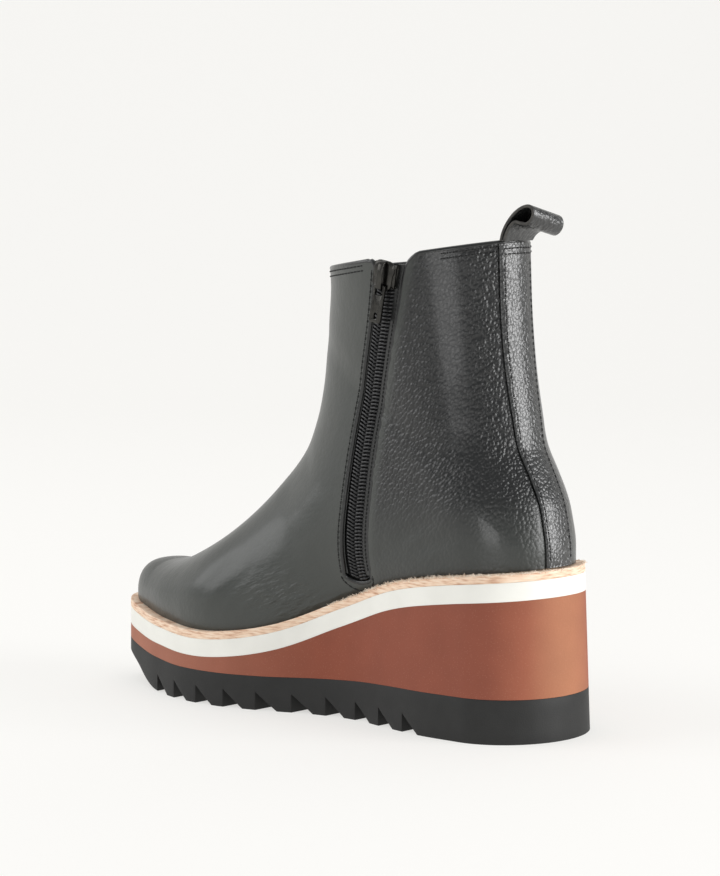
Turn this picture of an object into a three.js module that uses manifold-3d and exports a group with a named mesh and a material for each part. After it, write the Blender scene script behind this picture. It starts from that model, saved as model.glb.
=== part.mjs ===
// Wedge ankle boot with an inner side zip, right foot. Millimetres, +Z up, toe along +Y, outer side +X.
// Everything is drawn with y = 0 at the back of the heel, and the finished group is moved so that
// the origin lies on the floor under the middle of the heel.

import * as THREE from 'three';
import { mergeVertices } from 'three/addons/utils/BufferGeometryUtils.js';
import Module from 'manifold-3d';

const wasm = await Module();
wasm.setup();

// Driving sizes of the sole
const soleLength = 268;
const soleWidth = 94;
const heelRise = 71;
const platform = 30.5;
const toeSpring = 6;
const heelRest = 34;
const midsoleThick = 8.2;
const outsoleHeel = 19.6;
const outsoleFront = 15.6;
const toeRocker = 15;
const soleFlare = 0.022;
const weltThick = 3.4;
const weltShelf = 3.2;
const layerGap = 0.3;

// Driving sizes of the tread
const lugPitch = 17.16;
const lugDepth = 8.5;
const lugCount = 10;
const lugNotch = 10.6;
const firstLug = 66.5;

// Driving sizes of the upper
const bootHeight = 215;
const wallThick = 2;
const insoleThick = 4.8;
const insoleEdge = 0.6;
const seamGap = 0.3;

// Driving sizes of the zip
const slotWidth = 15.6;
const slotBottom = 62;
const slotCornerFront = 4;
const slotCornerBack = 9;
const tapeWidth = 27;
const tapeThick = 0.8;
const tapeBelowCollar = 3;
const tapeAboveInsole = 1.2;
const chainWidth = 9.8;
const chainForward = 0.8;
const chainProud = 0.3;
const sliderLength = 13;
const sliderPlate = 1.6;
const sliderFlange = 0.9;
const sliderDrop = 4.5;
const crownWidth = 2.6;
const crownThick = 0.8;
const pullWidth = 6;
const pullLength = 17;
const pullThick = 1.2;
const pullWindow = 3.6;
const pullHole = 1.6;
const pullTilt = -3;
const hingeGap = 0.4;

// Driving sizes of the back strip and its pull loop
const stripWidth = 19;
const stripThick = 1;
const loopWidth = 19;
const loopRise = 16;
const loopThick = 1.5;

// Plan of the sole: widths either side of the long axis, as shares of soleWidth, at shares of soleLength
const solePlan = [
  { at: 0.00, axis: 0.013, inner: 0.361, outer: 0.388 },
  { at: 0.12, axis: 0.013, inner: 0.373, outer: 0.388 },
  { at: 0.20, axis: 0.013, inner: 0.380, outer: 0.388 },
  { at: 0.29, axis: 0.010, inner: 0.349, outer: 0.380 },
  { at: 0.38, axis: 0.000, inner: 0.310, outer: 0.400 },
  { at: 0.47, axis: 0.000, inner: 0.348, outer: 0.435 },
  { at: 0.56, axis: 0.000, inner: 0.443, outer: 0.470 },
  { at: 0.65, axis: -0.010, inner: 0.505, outer: 0.495 },
  { at: 0.74, axis: -0.030, inner: 0.503, outer: 0.480 },
  { at: 0.83, axis: -0.059, inner: 0.436, outer: 0.372 },
  { at: 0.92, axis: -0.088, inner: 0.370, outer: 0.250 },
  { at: 1.00, axis: -0.098, inner: 0.354, outer: 0.177 },
];
const heelRound = { length: 0.12, power: 2 };
const toeRound = { start: 0.822, power: 2.23 };

// Side view of the sole: pitch runs from the platform (0) to the heel rise (1), spring and rocker are
// shares of toeSpring and toeRocker, and heel is the share of the outsole's extra height at the heel
const soleProfile = [
  { at: 0.00, pitch: 1.000, spring: 0.00, rocker: 0.00, heel: 0.95 },
  { at: 0.13, pitch: 0.926, spring: 0.00, rocker: 0.00, heel: 1.00 },
  { at: 0.28, pitch: 0.758, spring: 0.00, rocker: 0.00, heel: 0.85 },
  { at: 0.41, pitch: 0.469, spring: 0.00, rocker: 0.00, heel: 0.40 },
  { at: 0.54, pitch: 0.141, spring: 0.00, rocker: 0.00, heel: 0.08 },
  { at: 0.67, pitch: 0.000, spring: 0.00, rocker: 0.00, heel: 0.00 },
  { at: 0.80, pitch: 0.000, spring: 0.08, rocker: 0.00, heel: 0.00 },
  { at: 0.84, pitch: 0.000, spring: 0.19, rocker: 0.07, heel: 0.00 },
  { at: 0.88, pitch: 0.000, spring: 0.33, rocker: 0.31, heel: 0.00 },
  { at: 0.92, pitch: 0.000, spring: 0.52, rocker: 0.65, heel: 0.00 },
  { at: 0.96, pitch: 0.000, spring: 0.75, rocker: 0.89, heel: 0.00 },
  { at: 1.00, pitch: 0.000, spring: 1.00, rocker: 1.00, heel: 0.00 },
];

// Sections of the upper, a row each, from the toe box back to the heel and then up the shaft.
// foot: where the section leaves the sole, as a share of its length; back: its height on the back line,
// as a share of the way from the heel seat to the collar. ridge and crown: the section's top or front point,
// as shares of soleLength and bootHeight. lean moves that point sideways, as a share of soleWidth, bend is
// how late the section turns forwards on its way up, and sag is how far its middle dips, in bootHeights
const upperPath = [
  { foot: 0.905, back: 0.00, ridge: 0.896, crown: 0.265, lean: -0.096, bend: 1.00, sag: 0.000 },
  { foot: 0.860, back: 0.00, ridge: 0.845, crown: 0.276, lean: -0.090, bend: 1.00, sag: 0.000 },
  { foot: 0.800, back: 0.00, ridge: 0.789, crown: 0.302, lean: -0.080, bend: 1.05, sag: 0.000 },
  { foot: 0.690, back: 0.00, ridge: 0.711, crown: 0.355, lean: -0.065, bend: 1.10, sag: 0.000 },
  { foot: 0.575, back: 0.00, ridge: 0.647, crown: 0.420, lean: -0.050, bend: 1.15, sag: 0.000 },
  { foot: 0.460, back: 0.00, ridge: 0.588, crown: 0.494, lean: -0.035, bend: 1.20, sag: 0.000 },
  { foot: 0.350, back: 0.00, ridge: 0.541, crown: 0.564, lean: -0.025, bend: 1.25, sag: 0.000 },
  { foot: 0.240, back: 0.00, ridge: 0.516, crown: 0.639, lean: -0.015, bend: 1.30, sag: 0.000 },
  { foot: 0.130, back: 0.00, ridge: 0.504, crown: 0.711, lean: -0.005, bend: 1.35, sag: 0.000 },
  { foot: 0.000, back: 0.00, ridge: 0.500, crown: 0.771, lean:  0.003, bend: 1.35, sag: 0.000 },
  { foot: 0.000, back: 0.14, ridge: 0.496, crown: 0.812, lean:  0.007, bend: 1.12, sag: 0.000 },
  { foot: 0.000, back: 0.32, ridge: 0.492, crown: 0.852, lean:  0.010, bend: 1.00, sag: 0.000 },
  { foot: 0.000, back: 0.53, ridge: 0.488, crown: 0.884, lean:  0.013, bend: 1.00, sag: 0.000 },
  { foot: 0.000, back: 0.77, ridge: 0.484, crown: 0.911, lean:  0.013, bend: 1.00, sag: 0.002 },
  { foot: 0.000, back: 1.00, ridge: 0.482, crown: 0.938, lean:  0.013, bend: 1.00, sag: 0.005 },
];

// The same sections' widths: inner and outer are the full half widths, as shares of soleWidth. rise and dome
// are how far from its base and its ridge the section reaches them, as shares of soleLength, and low and top
// are the roundness of those two ends
const upperGirth = [
  { inner: 0.231, outer: 0.284, rise: 0.078, low: 2.20, dome: 0.071, top: 2.50 },
  { inner: 0.296, outer: 0.353, rise: 0.086, low: 2.20, dome: 0.071, top: 2.40 },
  { inner: 0.369, outer: 0.421, rise: 0.101, low: 2.20, dome: 0.093, top: 2.20 },
  { inner: 0.448, outer: 0.470, rise: 0.127, low: 2.20, dome: 0.127, top: 2.00 },
  { inner: 0.410, outer: 0.431, rise: 0.127, low: 2.20, dome: 0.157, top: 1.90 },
  { inner: 0.362, outer: 0.385, rise: 0.134, low: 2.20, dome: 0.187, top: 1.90 },
  { inner: 0.348, outer: 0.360, rise: 0.142, low: 2.20, dome: 0.201, top: 1.90 },
  { inner: 0.343, outer: 0.345, rise: 0.142, low: 2.20, dome: 0.213, top: 1.90 },
  { inner: 0.338, outer: 0.336, rise: 0.149, low: 2.20, dome: 0.224, top: 1.95 },
  { inner: 0.333, outer: 0.330, rise: 0.149, low: 2.20, dome: 0.231, top: 2.00 },
  { inner: 0.332, outer: 0.330, rise: 0.149, low: 2.20, dome: 0.228, top: 2.00 },
  { inner: 0.340, outer: 0.337, rise: 0.157, low: 2.20, dome: 0.216, top: 2.00 },
  { inner: 0.352, outer: 0.349, rise: 0.164, low: 2.20, dome: 0.205, top: 2.00 },
  { inner: 0.368, outer: 0.363, rise: 0.172, low: 2.20, dome: 0.198, top: 2.00 },
  { inner: 0.384, outer: 0.377, rise: 0.172, low: 2.20, dome: 0.194, top: 2.00 },
];
const upperRows = upperPath.map((row, at) => ({ ...row, ...upperGirth[at], at }));
const heelRow = upperRows.findIndex((row) => row.foot === 0);
const toeTopRound = 2.2;

// The back line of the upper, from the heel seat (0) to the collar (1): how far it lies in front of the
// heel seat's edge, as a share of soleLength, and how much longer than the sole's its rounding is
const backLine = [
  { at: 0.00, in: 0.000, round: 1.00 },
  { at: 0.07, in: 0.001, round: 1.06 },
  { at: 0.12, in: 0.005, round: 1.10 },
  { at: 0.19, in: 0.013, round: 1.16 },
  { at: 0.27, in: 0.032, round: 1.24 },
  { at: 0.35, in: 0.053, round: 1.32 },
  { at: 0.46, in: 0.064, round: 1.42 },
  { at: 0.57, in: 0.073, round: 1.50 },
  { at: 0.73, in: 0.081, round: 1.58 },
  { at: 1.00, in: 0.086, round: 1.65 },
];

// The middle of the zip on the inner side: how far along the sole it lies, at shares of bootHeight
const zipLine = [
  { at: 0.28, along: 0.367 },
  { at: 0.35, along: 0.361 },
  { at: 0.45, along: 0.350 },
  { at: 0.56, along: 0.337 },
  { at: 0.68, along: 0.317 },
  { at: 0.77, along: 0.298 },
  { at: 0.86, along: 0.278 },
  { at: 0.95, along: 0.262 },
  { at: 1.10, along: 0.237 },
];

// Half of the back strip, as a share of stripWidth, at shares of bootHeight
const stripShape = [
  { at: 0.34, half: 0.42 },
  { at: 0.50, half: 0.42 },
  { at: 0.75, half: 0.50 },
  { at: 1.10, half: 0.50 },
];

// The pull loop's inner-side edge, from the front leg over the curl to the back leg: how far it lies
// behind and above the back of the collar, as shares of loopRise, and how far its width has turned
// back and down
const loopPath = [
  { back: -0.11, up: 0.03, turn: 0.00 },
  { back: -0.04, up: 0.25, turn: 0.25 },
  { back: 0.10, up: 0.49, turn: 0.55 },
  { back: 0.34, up: 0.75, turn: 0.85 },
  { back: 0.61, up: 0.92, turn: 1.00 },
  { back: 0.86, up: 0.98, turn: 1.00 },
  { back: 1.01, up: 0.92, turn: 1.00 },
  { back: 1.05, up: 0.77, turn: 1.00 },
  { back: 0.98, up: 0.62, turn: 1.00 },
  { back: 0.82, up: 0.51, turn: 1.00 },
  { back: 0.62, up: 0.52, turn: 0.95 },
  { back: 0.40, up: 0.55, turn: 0.80 },
  { back: 0.23, up: 0.44, turn: 0.55 },
  { back: 0.10, up: 0.25, turn: 0.25 },
  { back: 0.00, up: 0.03, turn: 0.00 },
].map((row, at) => ({ ...row, at }));
const loopTurn = new THREE.Vector3(0.96, -0.08, -0.27);

// A smooth curve through a table's column, without corners at its rows
function smooth(rows, column, at) {
  const slope = (i) => (rows[i + 1][column] - rows[i][column]) / (rows[i + 1].at - rows[i].at);
  const tangent = (i) => {
    if (i === 0) return slope(0);
    if (i === rows.length - 1) return slope(i - 1);
    const before = rows[i].at - rows[i - 1].at;
    const after = rows[i + 1].at - rows[i].at;
    return (slope(i) * before + slope(i - 1) * after) / (before + after);
  };
  const place = Math.min(Math.max(at, rows[0].at), rows[rows.length - 1].at);
  let i = 0;
  while (i < rows.length - 2 && place > rows[i + 1].at) i += 1;
  const width = rows[i + 1].at - rows[i].at;
  const s = (place - rows[i].at) / width;
  return rows[i][column] * (1 + 2 * s) * (1 - s) ** 2
    + tangent(i) * width * s * (1 - s) ** 2
    + rows[i + 1][column] * s * s * (3 - 2 * s)
    + tangent(i + 1) * width * s * s * (s - 1);
}

// Places from 0 to 1 that crowd towards both ends, for round ends
function endPlaces(count) {
  return Array.from({ length: count + 1 }, (_, k) => (1 - Math.cos((Math.PI * k) / count)) / 2);
}

const mix = (from, to, share) => from + (to - from) * share;

// How much of the sole's width is left at the round heel and toe
function heelClosing(at) {
  if (at >= heelRound.length) return 1;
  return (1 - (1 - at / heelRound.length) ** heelRound.power) ** (1 / heelRound.power);
}
function toeClosing(at) {
  if (at <= toeRound.start) return 1;
  const reach = (at - toeRound.start) / (1 - toeRound.start);
  return Math.max(0, 1 - reach ** toeRound.power) ** (1 / toeRound.power);
}

// Heights in the side view at a share of the sole's length
const lift = (at) => toeSpring * smooth(soleProfile, 'spring', at);
const heelExtra = outsoleHeel - outsoleFront;
const midsoleTop = (at) => platform + (heelRise - platform) * smooth(soleProfile, 'pitch', at) + lift(at);
const midsoleBottom = (at) => midsoleTop(at) - midsoleThick;
const outsoleTop = (at) => outsoleFront + heelExtra * smooth(soleProfile, 'heel', at) + lift(at);
const outsoleBottom = (at) => toeRocker * Math.max(smooth(soleProfile, 'rocker', at), 0);
const weltTop = (at) => midsoleTop(at) + layerGap + weltThick;
const insoleTop = (at) => midsoleTop(at) + layerGap + insoleThick;

// Half width of the plan from its axis, drawn in by inset, before the heel is rounded
function halfWidth(side, at, inset) {
  const column = side < 0 ? 'inner' : 'outer';
  const reach = soleWidth * (smooth(solePlan, column, at) - side * smooth(solePlan, 'axis', at));
  return (reach - inset) * toeClosing(at);
}
const axisSide = (at) => soleWidth * smooth(solePlan, 'axis', at);
const alongSole = (at, inset) => mix(inset, soleLength - inset, at);

// A point of the sole's edge at a height, drawn in by shelf; the edge flares out towards the floor
function edgePoint(side, at, height, shelf) {
  const inset = shelf + soleFlare * height;
  const reach = halfWidth(side, at, inset) * heelClosing(at);
  return [axisSide(at) + side * reach, alongSole(at, inset), height];
}

// A closed geometry from points and faces of three or four corners, with doubled points joined
function geometryOf(points, faces) {
  const index = [];
  for (const face of faces) {
    for (let k = 2; k < face.length; k += 1) index.push(face[0], face[k - 1], face[k]);
  }
  const loose = new THREE.BufferGeometry();
  loose.setAttribute('position', new THREE.Float32BufferAttribute(points.flat(), 3));
  loose.setIndex(index);
  const merged = mergeVertices(loose, 1e-3);
  const kept = [];
  for (let k = 0; k < merged.index.count; k += 3) {
    const [a, b, c] = [0, 1, 2].map((n) => merged.index.getX(k + n));
    if (a !== b && b !== c && c !== a) kept.push(a, b, c);
  }
  merged.setIndex(kept);
  return merged;
}

function solidOf(geometry) {
  const bare = geometry.clone();
  bare.deleteAttribute('normal');
  bare.deleteAttribute('uv');
  const merged = mergeVertices(bare, 1e-4);
  return new wasm.Manifold(new wasm.Mesh({
    numProp: 3,
    vertProperties: new Float32Array(merged.attributes.position.array),
    triVerts: new Uint32Array(merged.index.array),
  }));
}

function geometryOfSolid(solid) {
  const mesh = solid.getMesh();
  const geometry = new THREE.BufferGeometry();
  geometry.setAttribute('position', new THREE.BufferAttribute(mesh.vertProperties, 3));
  geometry.setIndex(new THREE.BufferAttribute(mesh.triVerts, 1));
  return geometry;
}

// A layer of the sole: rows of points from heel to toe, each with an inner and outer edge at the bottom
// and the top
const layerRows = 44;
function layer(bottom, top, shelf) {
  const points = [];
  for (const at of endPlaces(layerRows)) {
    points.push(edgePoint(-1, at, bottom(at), shelf), edgePoint(1, at, bottom(at), shelf));
    points.push(edgePoint(1, at, top(at), shelf), edgePoint(-1, at, top(at), shelf));
  }
  const faces = [];
  for (let row = 0; row < layerRows; row += 1) {
    for (let corner = 0; corner < 4; corner += 1) {
      const next = (corner + 1) % 4;
      faces.push([row * 4 + corner, (row + 1) * 4 + corner, (row + 1) * 4 + next, row * 4 + next]);
    }
  }
  return geometryOf(points, faces);
}

// The plate between two planes that an outline makes, drawn in X and Y
function plate(profile, bottom, top) {
  const shape = new THREE.Shape(profile.map(([x, y]) => new THREE.Vector2(x, y)));
  const extruded = new THREE.ExtrudeGeometry(shape, { depth: top - bottom, bevelEnabled: false });
  return extruded.translate(0, 0, bottom);
}

// A prism that crosses the boot from side to side, from a profile of [along, up] corners
function crossPrism(profile, fromX, toX) {
  const turn = new THREE.Matrix4().makeBasis(
    new THREE.Vector3(0, 1, 0), new THREE.Vector3(0, 0, 1), new THREE.Vector3(1, 0, 0));
  return solidOf(plate(profile, fromX, toX).applyMatrix4(turn));
}

// A prism that runs along the boot, from a profile of [side, up] corners
function lengthPrism(profile, fromY, toY) {
  const turn = new THREE.Matrix4().makeBasis(
    new THREE.Vector3(1, 0, 0), new THREE.Vector3(0, 0, 1), new THREE.Vector3(0, -1, 0));
  return solidOf(plate(profile, -toY, -fromY).applyMatrix4(turn));
}

// The outsole, with saw-tooth notches right across it: an upright wall towards the toe, a slope towards
// the heel
function outsoleGeometry() {
  let solid = solidOf(layer(outsoleBottom, outsoleTop, 0));
  const below = -wallThick;
  const slopeBelow = (lugNotch * below) / lugDepth;
  for (let lug = 0; lug < lugCount; lug += 1) {
    const along = firstLug + lug * lugPitch;
    const notch = [[along - lugNotch + slopeBelow, below], [along, below], [along, lugDepth]];
    solid = solid.subtract(crossPrism(notch, -soleWidth, soleWidth));
  }
  return geometryOfSolid(solid);
}

const wedgeGeometry = () => layer((at) => outsoleTop(at) + layerGap, midsoleBottom, 0);
const midsoleGeometry = () => layer((at) => midsoleBottom(at) + layerGap, midsoleTop, 0);

// The edge of the last, which is the inside of the upper's wall, from the sole's edge
const lastShelf = weltShelf + wallThick;

// The places of the upper's sections in upperRows, crowded where the heel's edge turns
const toeSections = 9;
const sectionsPerRow = 2;
const heelSections = 5;
function rowPlaces() {
  const places = [];
  for (let row = 0; row < upperRows.length - 1; row += 1) {
    const count = row === heelRow - 1 || row === heelRow ? heelSections : sectionsPerRow;
    for (let k = 0; k < count; k += 1) {
      places.push(row === heelRow - 1 ? row + 1 - (1 - k / count) ** 2 : row + k / count);
    }
  }
  return [...places, upperRows.length - 1];
}

// How much of the upper's width is left near its back line, at a place in the side view
const heelInset = lastShelf + soleFlare * (weltTop(0) + layerGap);
const backAlong = (share) => heelInset + soleLength * smooth(backLine, 'in', share);
function backClosing(along, up) {
  const seat = weltTop(0) + layerGap;
  const share = Math.min(Math.max((up - seat) / (bootHeight - seat), 0), 1);
  const length = heelRound.length * (soleLength - 2 * heelInset) * smooth(backLine, 'round', share);
  const distance = Math.min(Math.max((along - backAlong(share)) / length, 0), 1);
  return (1 - (1 - distance) ** heelRound.power) ** (1 / heelRound.power);
}

// A section at a place in upperRows: its base and ridge points and the measures of its two sides
function sectionAt(place) {
  const value = (column) => smooth(upperRows, column, place);
  const foot = place < heelRow ? smooth(upperRows.slice(0, heelRow + 1), 'foot', place) : 0;
  const seat = weltTop(foot) + layerGap;
  const inset = lastShelf + soleFlare * seat;
  const back = place > heelRow ? smooth(upperRows.slice(heelRow), 'back', place) : 0;
  const along = place < heelRow ? alongSole(foot, inset) : backAlong(back);
  const side = (name, sign) => ({ sign, edge: halfWidth(sign, foot, inset), reach: soleWidth * value(name) });
  return {
    base: [axisSide(foot), along, mix(seat, bootHeight, back)],
    ridge: [soleWidth * value('lean'), soleLength * value('ridge'), bootHeight * value('crown')],
    sides: [side('inner', -1), side('outer', 1)],
    rise: soleLength * value('rise'),
    low: value('low'),
    dome: soleLength * value('dome'),
    top: value('top'),
    bend: value('bend'),
    sag: bootHeight * value('sag'),
  };
}

// A section of the toe cap: share runs from 0 at the first row to 1 at the tip, where the section closes
function toeSectionAt(share) {
  const first = sectionAt(0);
  const foot = mix(upperRows[0].foot, 1, share);
  const seat = weltTop(foot) + layerGap;
  const inset = lastShelf + soleFlare * seat;
  const closing = (1 - share ** toeTopRound) ** (1 / toeTopRound);
  const along = alongSole(foot, inset);
  const away = first.ridge.map((value, axis) => value - first.base[axis]);
  const side = ({ sign, edge, reach }) => {
    const nowEdge = halfWidth(sign, foot, inset);
    return { sign, edge: nowEdge, reach: nowEdge + (reach - edge) * closing };
  };
  return {
    ...first,
    base: [axisSide(foot), along, seat],
    ridge: [mix(first.ridge[0], axisSide(foot), share), along + away[1] * (1 - share),
      seat + away[2] * closing],
    sides: first.sides.map(side),
  };
}

// A point of one side of a section, between its base and its ridge. The width swells out over the rise and
// closes over the dome, and towards the back line
const sideSteps = 15;
const closingOver = (share, power) => (share >= 1 ? 1 : (1 - (1 - share) ** power) ** (1 / power));
function sidePoint(section, sideNumber, share) {
  const { base, ridge, rise, low, dome, top, bend, sag } = section;
  const side = section.sides[sideNumber];
  const along = mix(base[1], ridge[1], share ** bend);
  const up = mix(base[2], ridge[2], share);
  const above = Math.hypot(along - base[1], up - base[2]);
  const below = Math.hypot(along - ridge[1], up - ridge[2]);
  const width = mix(side.reach, side.edge, Math.max(1 - above / rise, 0) ** low);
  const closing = closingOver(below / dome, top) * backClosing(along, up);
  const drop = 4 * sag * share * (1 - share);
  return new THREE.Vector3(mix(base[0], ridge[0], share) + side.sign * width * closing, along, up - drop);
}

// The outward direction of the last at a place on one side of a section, from its slopes there
const slopeStep = 0.004;
const anySection = (place) => (place < 0 ? toeSectionAt(-place) : sectionAt(place));
function outward(place, side, share) {
  const at = (where, from, which = side) => sidePoint(anySection(where), which, from);
  const [first, final] = place < heelRow ? [-1, heelRow] : [heelRow, upperRows.length - 1];
  const [before, after] = [Math.max(place - slopeStep, first), Math.min(place + slopeStep, final)];
  const along = at(after, share).sub(at(before, share));
  const sign = side === 0 ? 1 : -1;
  if (place === -1) return new THREE.Vector3(0, 1, 0);
  if (share === 0 && place < heelRow) {
    return new THREE.Vector3(along.y, -along.x, 0).multiplyScalar(sign).normalize();
  }
  if (share === 0) return at(place, slopeStep, 1).sub(at(place, slopeStep, 0)).cross(along).normalize();
  if (share === 1) {
    return at(place, 1 - slopeStep, 0).sub(at(place, 1 - slopeStep, 1)).cross(along).normalize();
  }
  const across = at(place, share - slopeStep).sub(at(place, share + slopeStep));
  return across.cross(along).multiplyScalar(sign).normalize();
}

// The last as rows of points, each from the inner edge over the ridge to the outer edge, with their outward
// directions. Places below 0 are the toe cap's
function lastForm() {
  const toe = Array.from({ length: toeSections }, (_, k) => -Math.cos((Math.PI / 2) * (k / toeSections)));
  const places = [...toe, ...rowPlaces()];
  const heelStart = toeSections + rowPlaces().indexOf(heelRow);
  const shares = endPlaces(sideSteps);
  const down = [...shares].reverse().slice(1);
  const stops = [...shares.map((share) => [0, share]), ...down.map((share) => [1, share])];
  return {
    grid: places.map((place) => stops.map(([side, share]) => sidePoint(anySection(place), side, share))),
    out: places.map((place) => stops.map(([side, share]) => outward(place, side, share))),
    heelStart,
  };
}
const last = lastForm();

// The upper's form: its outer face moved out by an offset, so that minus the wall gives the last. Its edge
// keeps to the top of the welt
const edgeUp = (along) => weltTop((along - heelInset) / (soleLength - 2 * heelInset)) + layerGap;
function form(offset) {
  const move = wallThick + offset;
  return last.grid.map((row, i) => row.map((point, j) => {
    const moved = point.clone().addScaledVector(last.out[i][j], move);
    if (i <= last.heelStart && (j === 0 || j === row.length - 1)) moved.z = edgeUp(moved.y);
    return moved;
  }));
}

// The two triangles of a cell of the form, split along the last's shorter diagonal, from its corners' numbers
function cellFaces(row, column, [a, b, c, d]) {
  const { grid } = last;
  const rising = grid[row][column].distanceTo(grid[row + 1][column + 1]);
  const falling = grid[row][column + 1].distanceTo(grid[row + 1][column]);
  return rising <= falling ? [[a, b, c], [a, c, d]] : [[a, b, d], [b, c, d]];
}

// The hollow shell of the upper: its inner and outer faces, joined along the sole's edge and around
// the collar
function upperShell() {
  const inner = form(-wallThick);
  const outer = form(0);
  const columns = outer[0].length;
  const rows = outer.length;
  const points = [...inner.flat(), ...outer.flat()].map((point) => point.toArray());
  const at = (face, row, column) => face * rows * columns + row * columns + column;
  const faces = [];
  for (let row = 0; row < rows - 1; row += 1) {
    for (let column = 0; column < columns - 1; column += 1) {
      const cell = (face) => cellFaces(row, column, [at(face, row, column), at(face, row, column + 1),
        at(face, row + 1, column + 1), at(face, row + 1, column)]);
      faces.push(...cell(0), ...cell(1).map((corners) => corners.reverse()));
    }
    if (row < last.heelStart) {
      faces.push([at(0, row + 1, 0), at(1, row + 1, 0), at(1, row, 0), at(0, row, 0)]);
      const edge = columns - 1;
      faces.push([at(0, row, edge), at(1, row, edge), at(1, row + 1, edge), at(0, row + 1, edge)]);
    }
  }
  for (let column = 0; column < columns - 1; column += 1) {
    const row = rows - 1;
    faces.push([at(0, row, column), at(0, row, column + 1), at(1, row, column + 1), at(1, row, column)]);
  }
  return geometryOf(points, faces);
}

// A flat-sided ring around the foot: the sole's edge outside, and the inside of the upper's wall inside
function weltGeometry() {
  const outer = solidOf(layer((at) => midsoleTop(at) + layerGap, weltTop, 0));
  const core = solidOf(layer((at) => midsoleTop(at) - weltThick, (at) => weltTop(at) + weltThick, lastShelf));
  return geometryOfSolid(outer.subtract(core));
}

const insoleGeometry = () => layer(
  (at) => midsoleTop(at) + layerGap, (at) => midsoleTop(at) + layerGap + insoleThick, lastShelf + insoleEdge);

// A closed solid of the upper's outer form, grown or shrunk by an offset, for cutting pieces that follow it
function formSolid(offset) {
  const grid = form(offset);
  const columns = grid[0].length;
  const points = grid.flat().map((point) => point.toArray());
  const faces = [];
  for (let row = 0; row < grid.length - 1; row += 1) {
    for (let column = 0; column < columns - 1; column += 1) {
      const start = row * columns + column;
      const cell = cellFaces(row, column, [start, start + 1, start + columns + 1, start + columns]);
      faces.push(...cell.map((corners) => corners.reverse()));
    }
    const [start, next] = [row * columns, (row + 1) * columns];
    faces.push([next + columns - 1, next, start, start + columns - 1]);
  }
  const rim = (grid.length - 1) * columns;
  for (let column = 0; column < (columns - 1) / 2; column += 1) {
    const across = columns - 1 - column;
    faces.push([rim + across, rim + across - 1, rim + column + 1, rim + column]);
  }
  return solidOf(geometryOf(points, faces));
}
const layerOfForm = (outside, inside) => formSolid(outside).subtract(formSolid(inside));

// Where the collar's rim lies above a place along the inner side
function collarAbove(along) {
  const rim = form(0)[last.grid.length - 1].slice(0, sideSteps + 1);
  const next = rim.findIndex((point) => point.y >= along);
  const share = (along - rim[next - 1].y) / (rim[next].y - rim[next - 1].y);
  return mix(rim[next - 1].z, rim[next].z, share);
}

// The zip's band on the inner side, as a prism: its side lines follow the zip, forward of it by shift
const bandSteps = 14;
const aboveBoot = 1.1 * bootHeight;
const zipAlong = (up) => soleLength * smooth(zipLine, 'along', up / bootHeight);
function zipBand(width, shift, bottom, top) {
  const heights = Array.from({ length: bandSteps + 1 }, (_, k) => mix(bottom, top, k / bandSteps));
  const line = (sign) => heights.map((up) => [zipAlong(up) + shift + (sign * width) / 2, up]);
  return [...line(1), ...line(-1).reverse()];
}
const innerSide = (profile) => crossPrism(profile, -soleWidth, -wallThick);

// The slot that the zip closes: a band with a round lower end, and rounded corners where it meets the collar
const endSteps = 8;
const cornerSteps = 6;
function slotSolid() {
  const end = [];
  const round = slotWidth / 4;
  for (let k = 0; k <= endSteps; k += 1) {
    const angle = Math.PI * (k / endSteps);
    const along = zipAlong(slotBottom) - (slotWidth / 2) * Math.cos(angle);
    end.push([along, slotBottom + round - round * Math.sin(angle)]);
  }
  const corner = (sign, radius) => {
    const estimate = zipAlong(bootHeight) + (sign * slotWidth) / 2;
    const rim = collarAbove(estimate + sign * radius);
    return Array.from({ length: cornerSteps + 1 }, (_, k) => {
      const angle = (Math.PI / 2) * (k / cornerSteps);
      const up = rim - radius + radius * Math.sin(angle);
      const away = k === cornerSteps ? 2 * radius : radius * (1 - Math.cos(angle));
      return [zipAlong(up) + sign * (slotWidth / 2 + away), k === cornerSteps ? aboveBoot : up];
    });
  };
  const front = corner(1, slotCornerFront);
  const back = corner(-1, slotCornerBack);
  const heights = Array.from({ length: bandSteps }, (_, k) => (
    mix(slotBottom + round, back[0][1], (k + 1) / (bandSteps + 1))));
  const side = (sign) => heights.map((up) => [zipAlong(up) + (sign * slotWidth) / 2, up]);
  return innerSide([...end, ...side(1), ...front, ...back.reverse(), ...side(-1).reverse()]);
}

const upperGeometry = () => geometryOfSolid(solidOf(upperShell()).subtract(slotSolid()));
const zipTop = () => collarAbove(zipAlong(bootHeight)) - tapeBelowCollar;

// The tape behind the slot, its lower end cut just above the insole
function tapeGeometry() {
  const outside = -wallThick - seamGap;
  const band = zipBand(tapeWidth, 0, slotBottom - slotWidth, zipTop());
  const strip = layerOfForm(outside, outside - tapeThick).intersect(innerSide(band));
  const belowTape = (at) => insoleTop(at) + tapeAboveInsole;
  const insole = solidOf(layer((at) => midsoleTop(at) - soleWidth, belowTape, 0));
  return geometryOfSolid(strip.subtract(insole));
}

// The two rows of coils, closed to the top, as one band that stands on the tape
function chainGeometry() {
  const band = zipBand(chainWidth, chainForward, slotBottom + slotWidth / 4, zipTop() - layerGap);
  return geometryOfSolid(layerOfForm(chainProud, -wallThick).intersect(innerSide(band)));
}

// The upper's form on the inner side, at a place in the side view
const bothFaces = new THREE.MeshBasicMaterial({ side: THREE.DoubleSide });
const formTarget = new THREE.Mesh(geometryOfSolid(formSolid(0)), bothFaces);
function formPoint(along, up) {
  const ray = new THREE.Raycaster(new THREE.Vector3(-2 * soleWidth, along, up), new THREE.Vector3(1, 0, 0));
  return ray.intersectObject(formTarget)[0].point;
}

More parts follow.
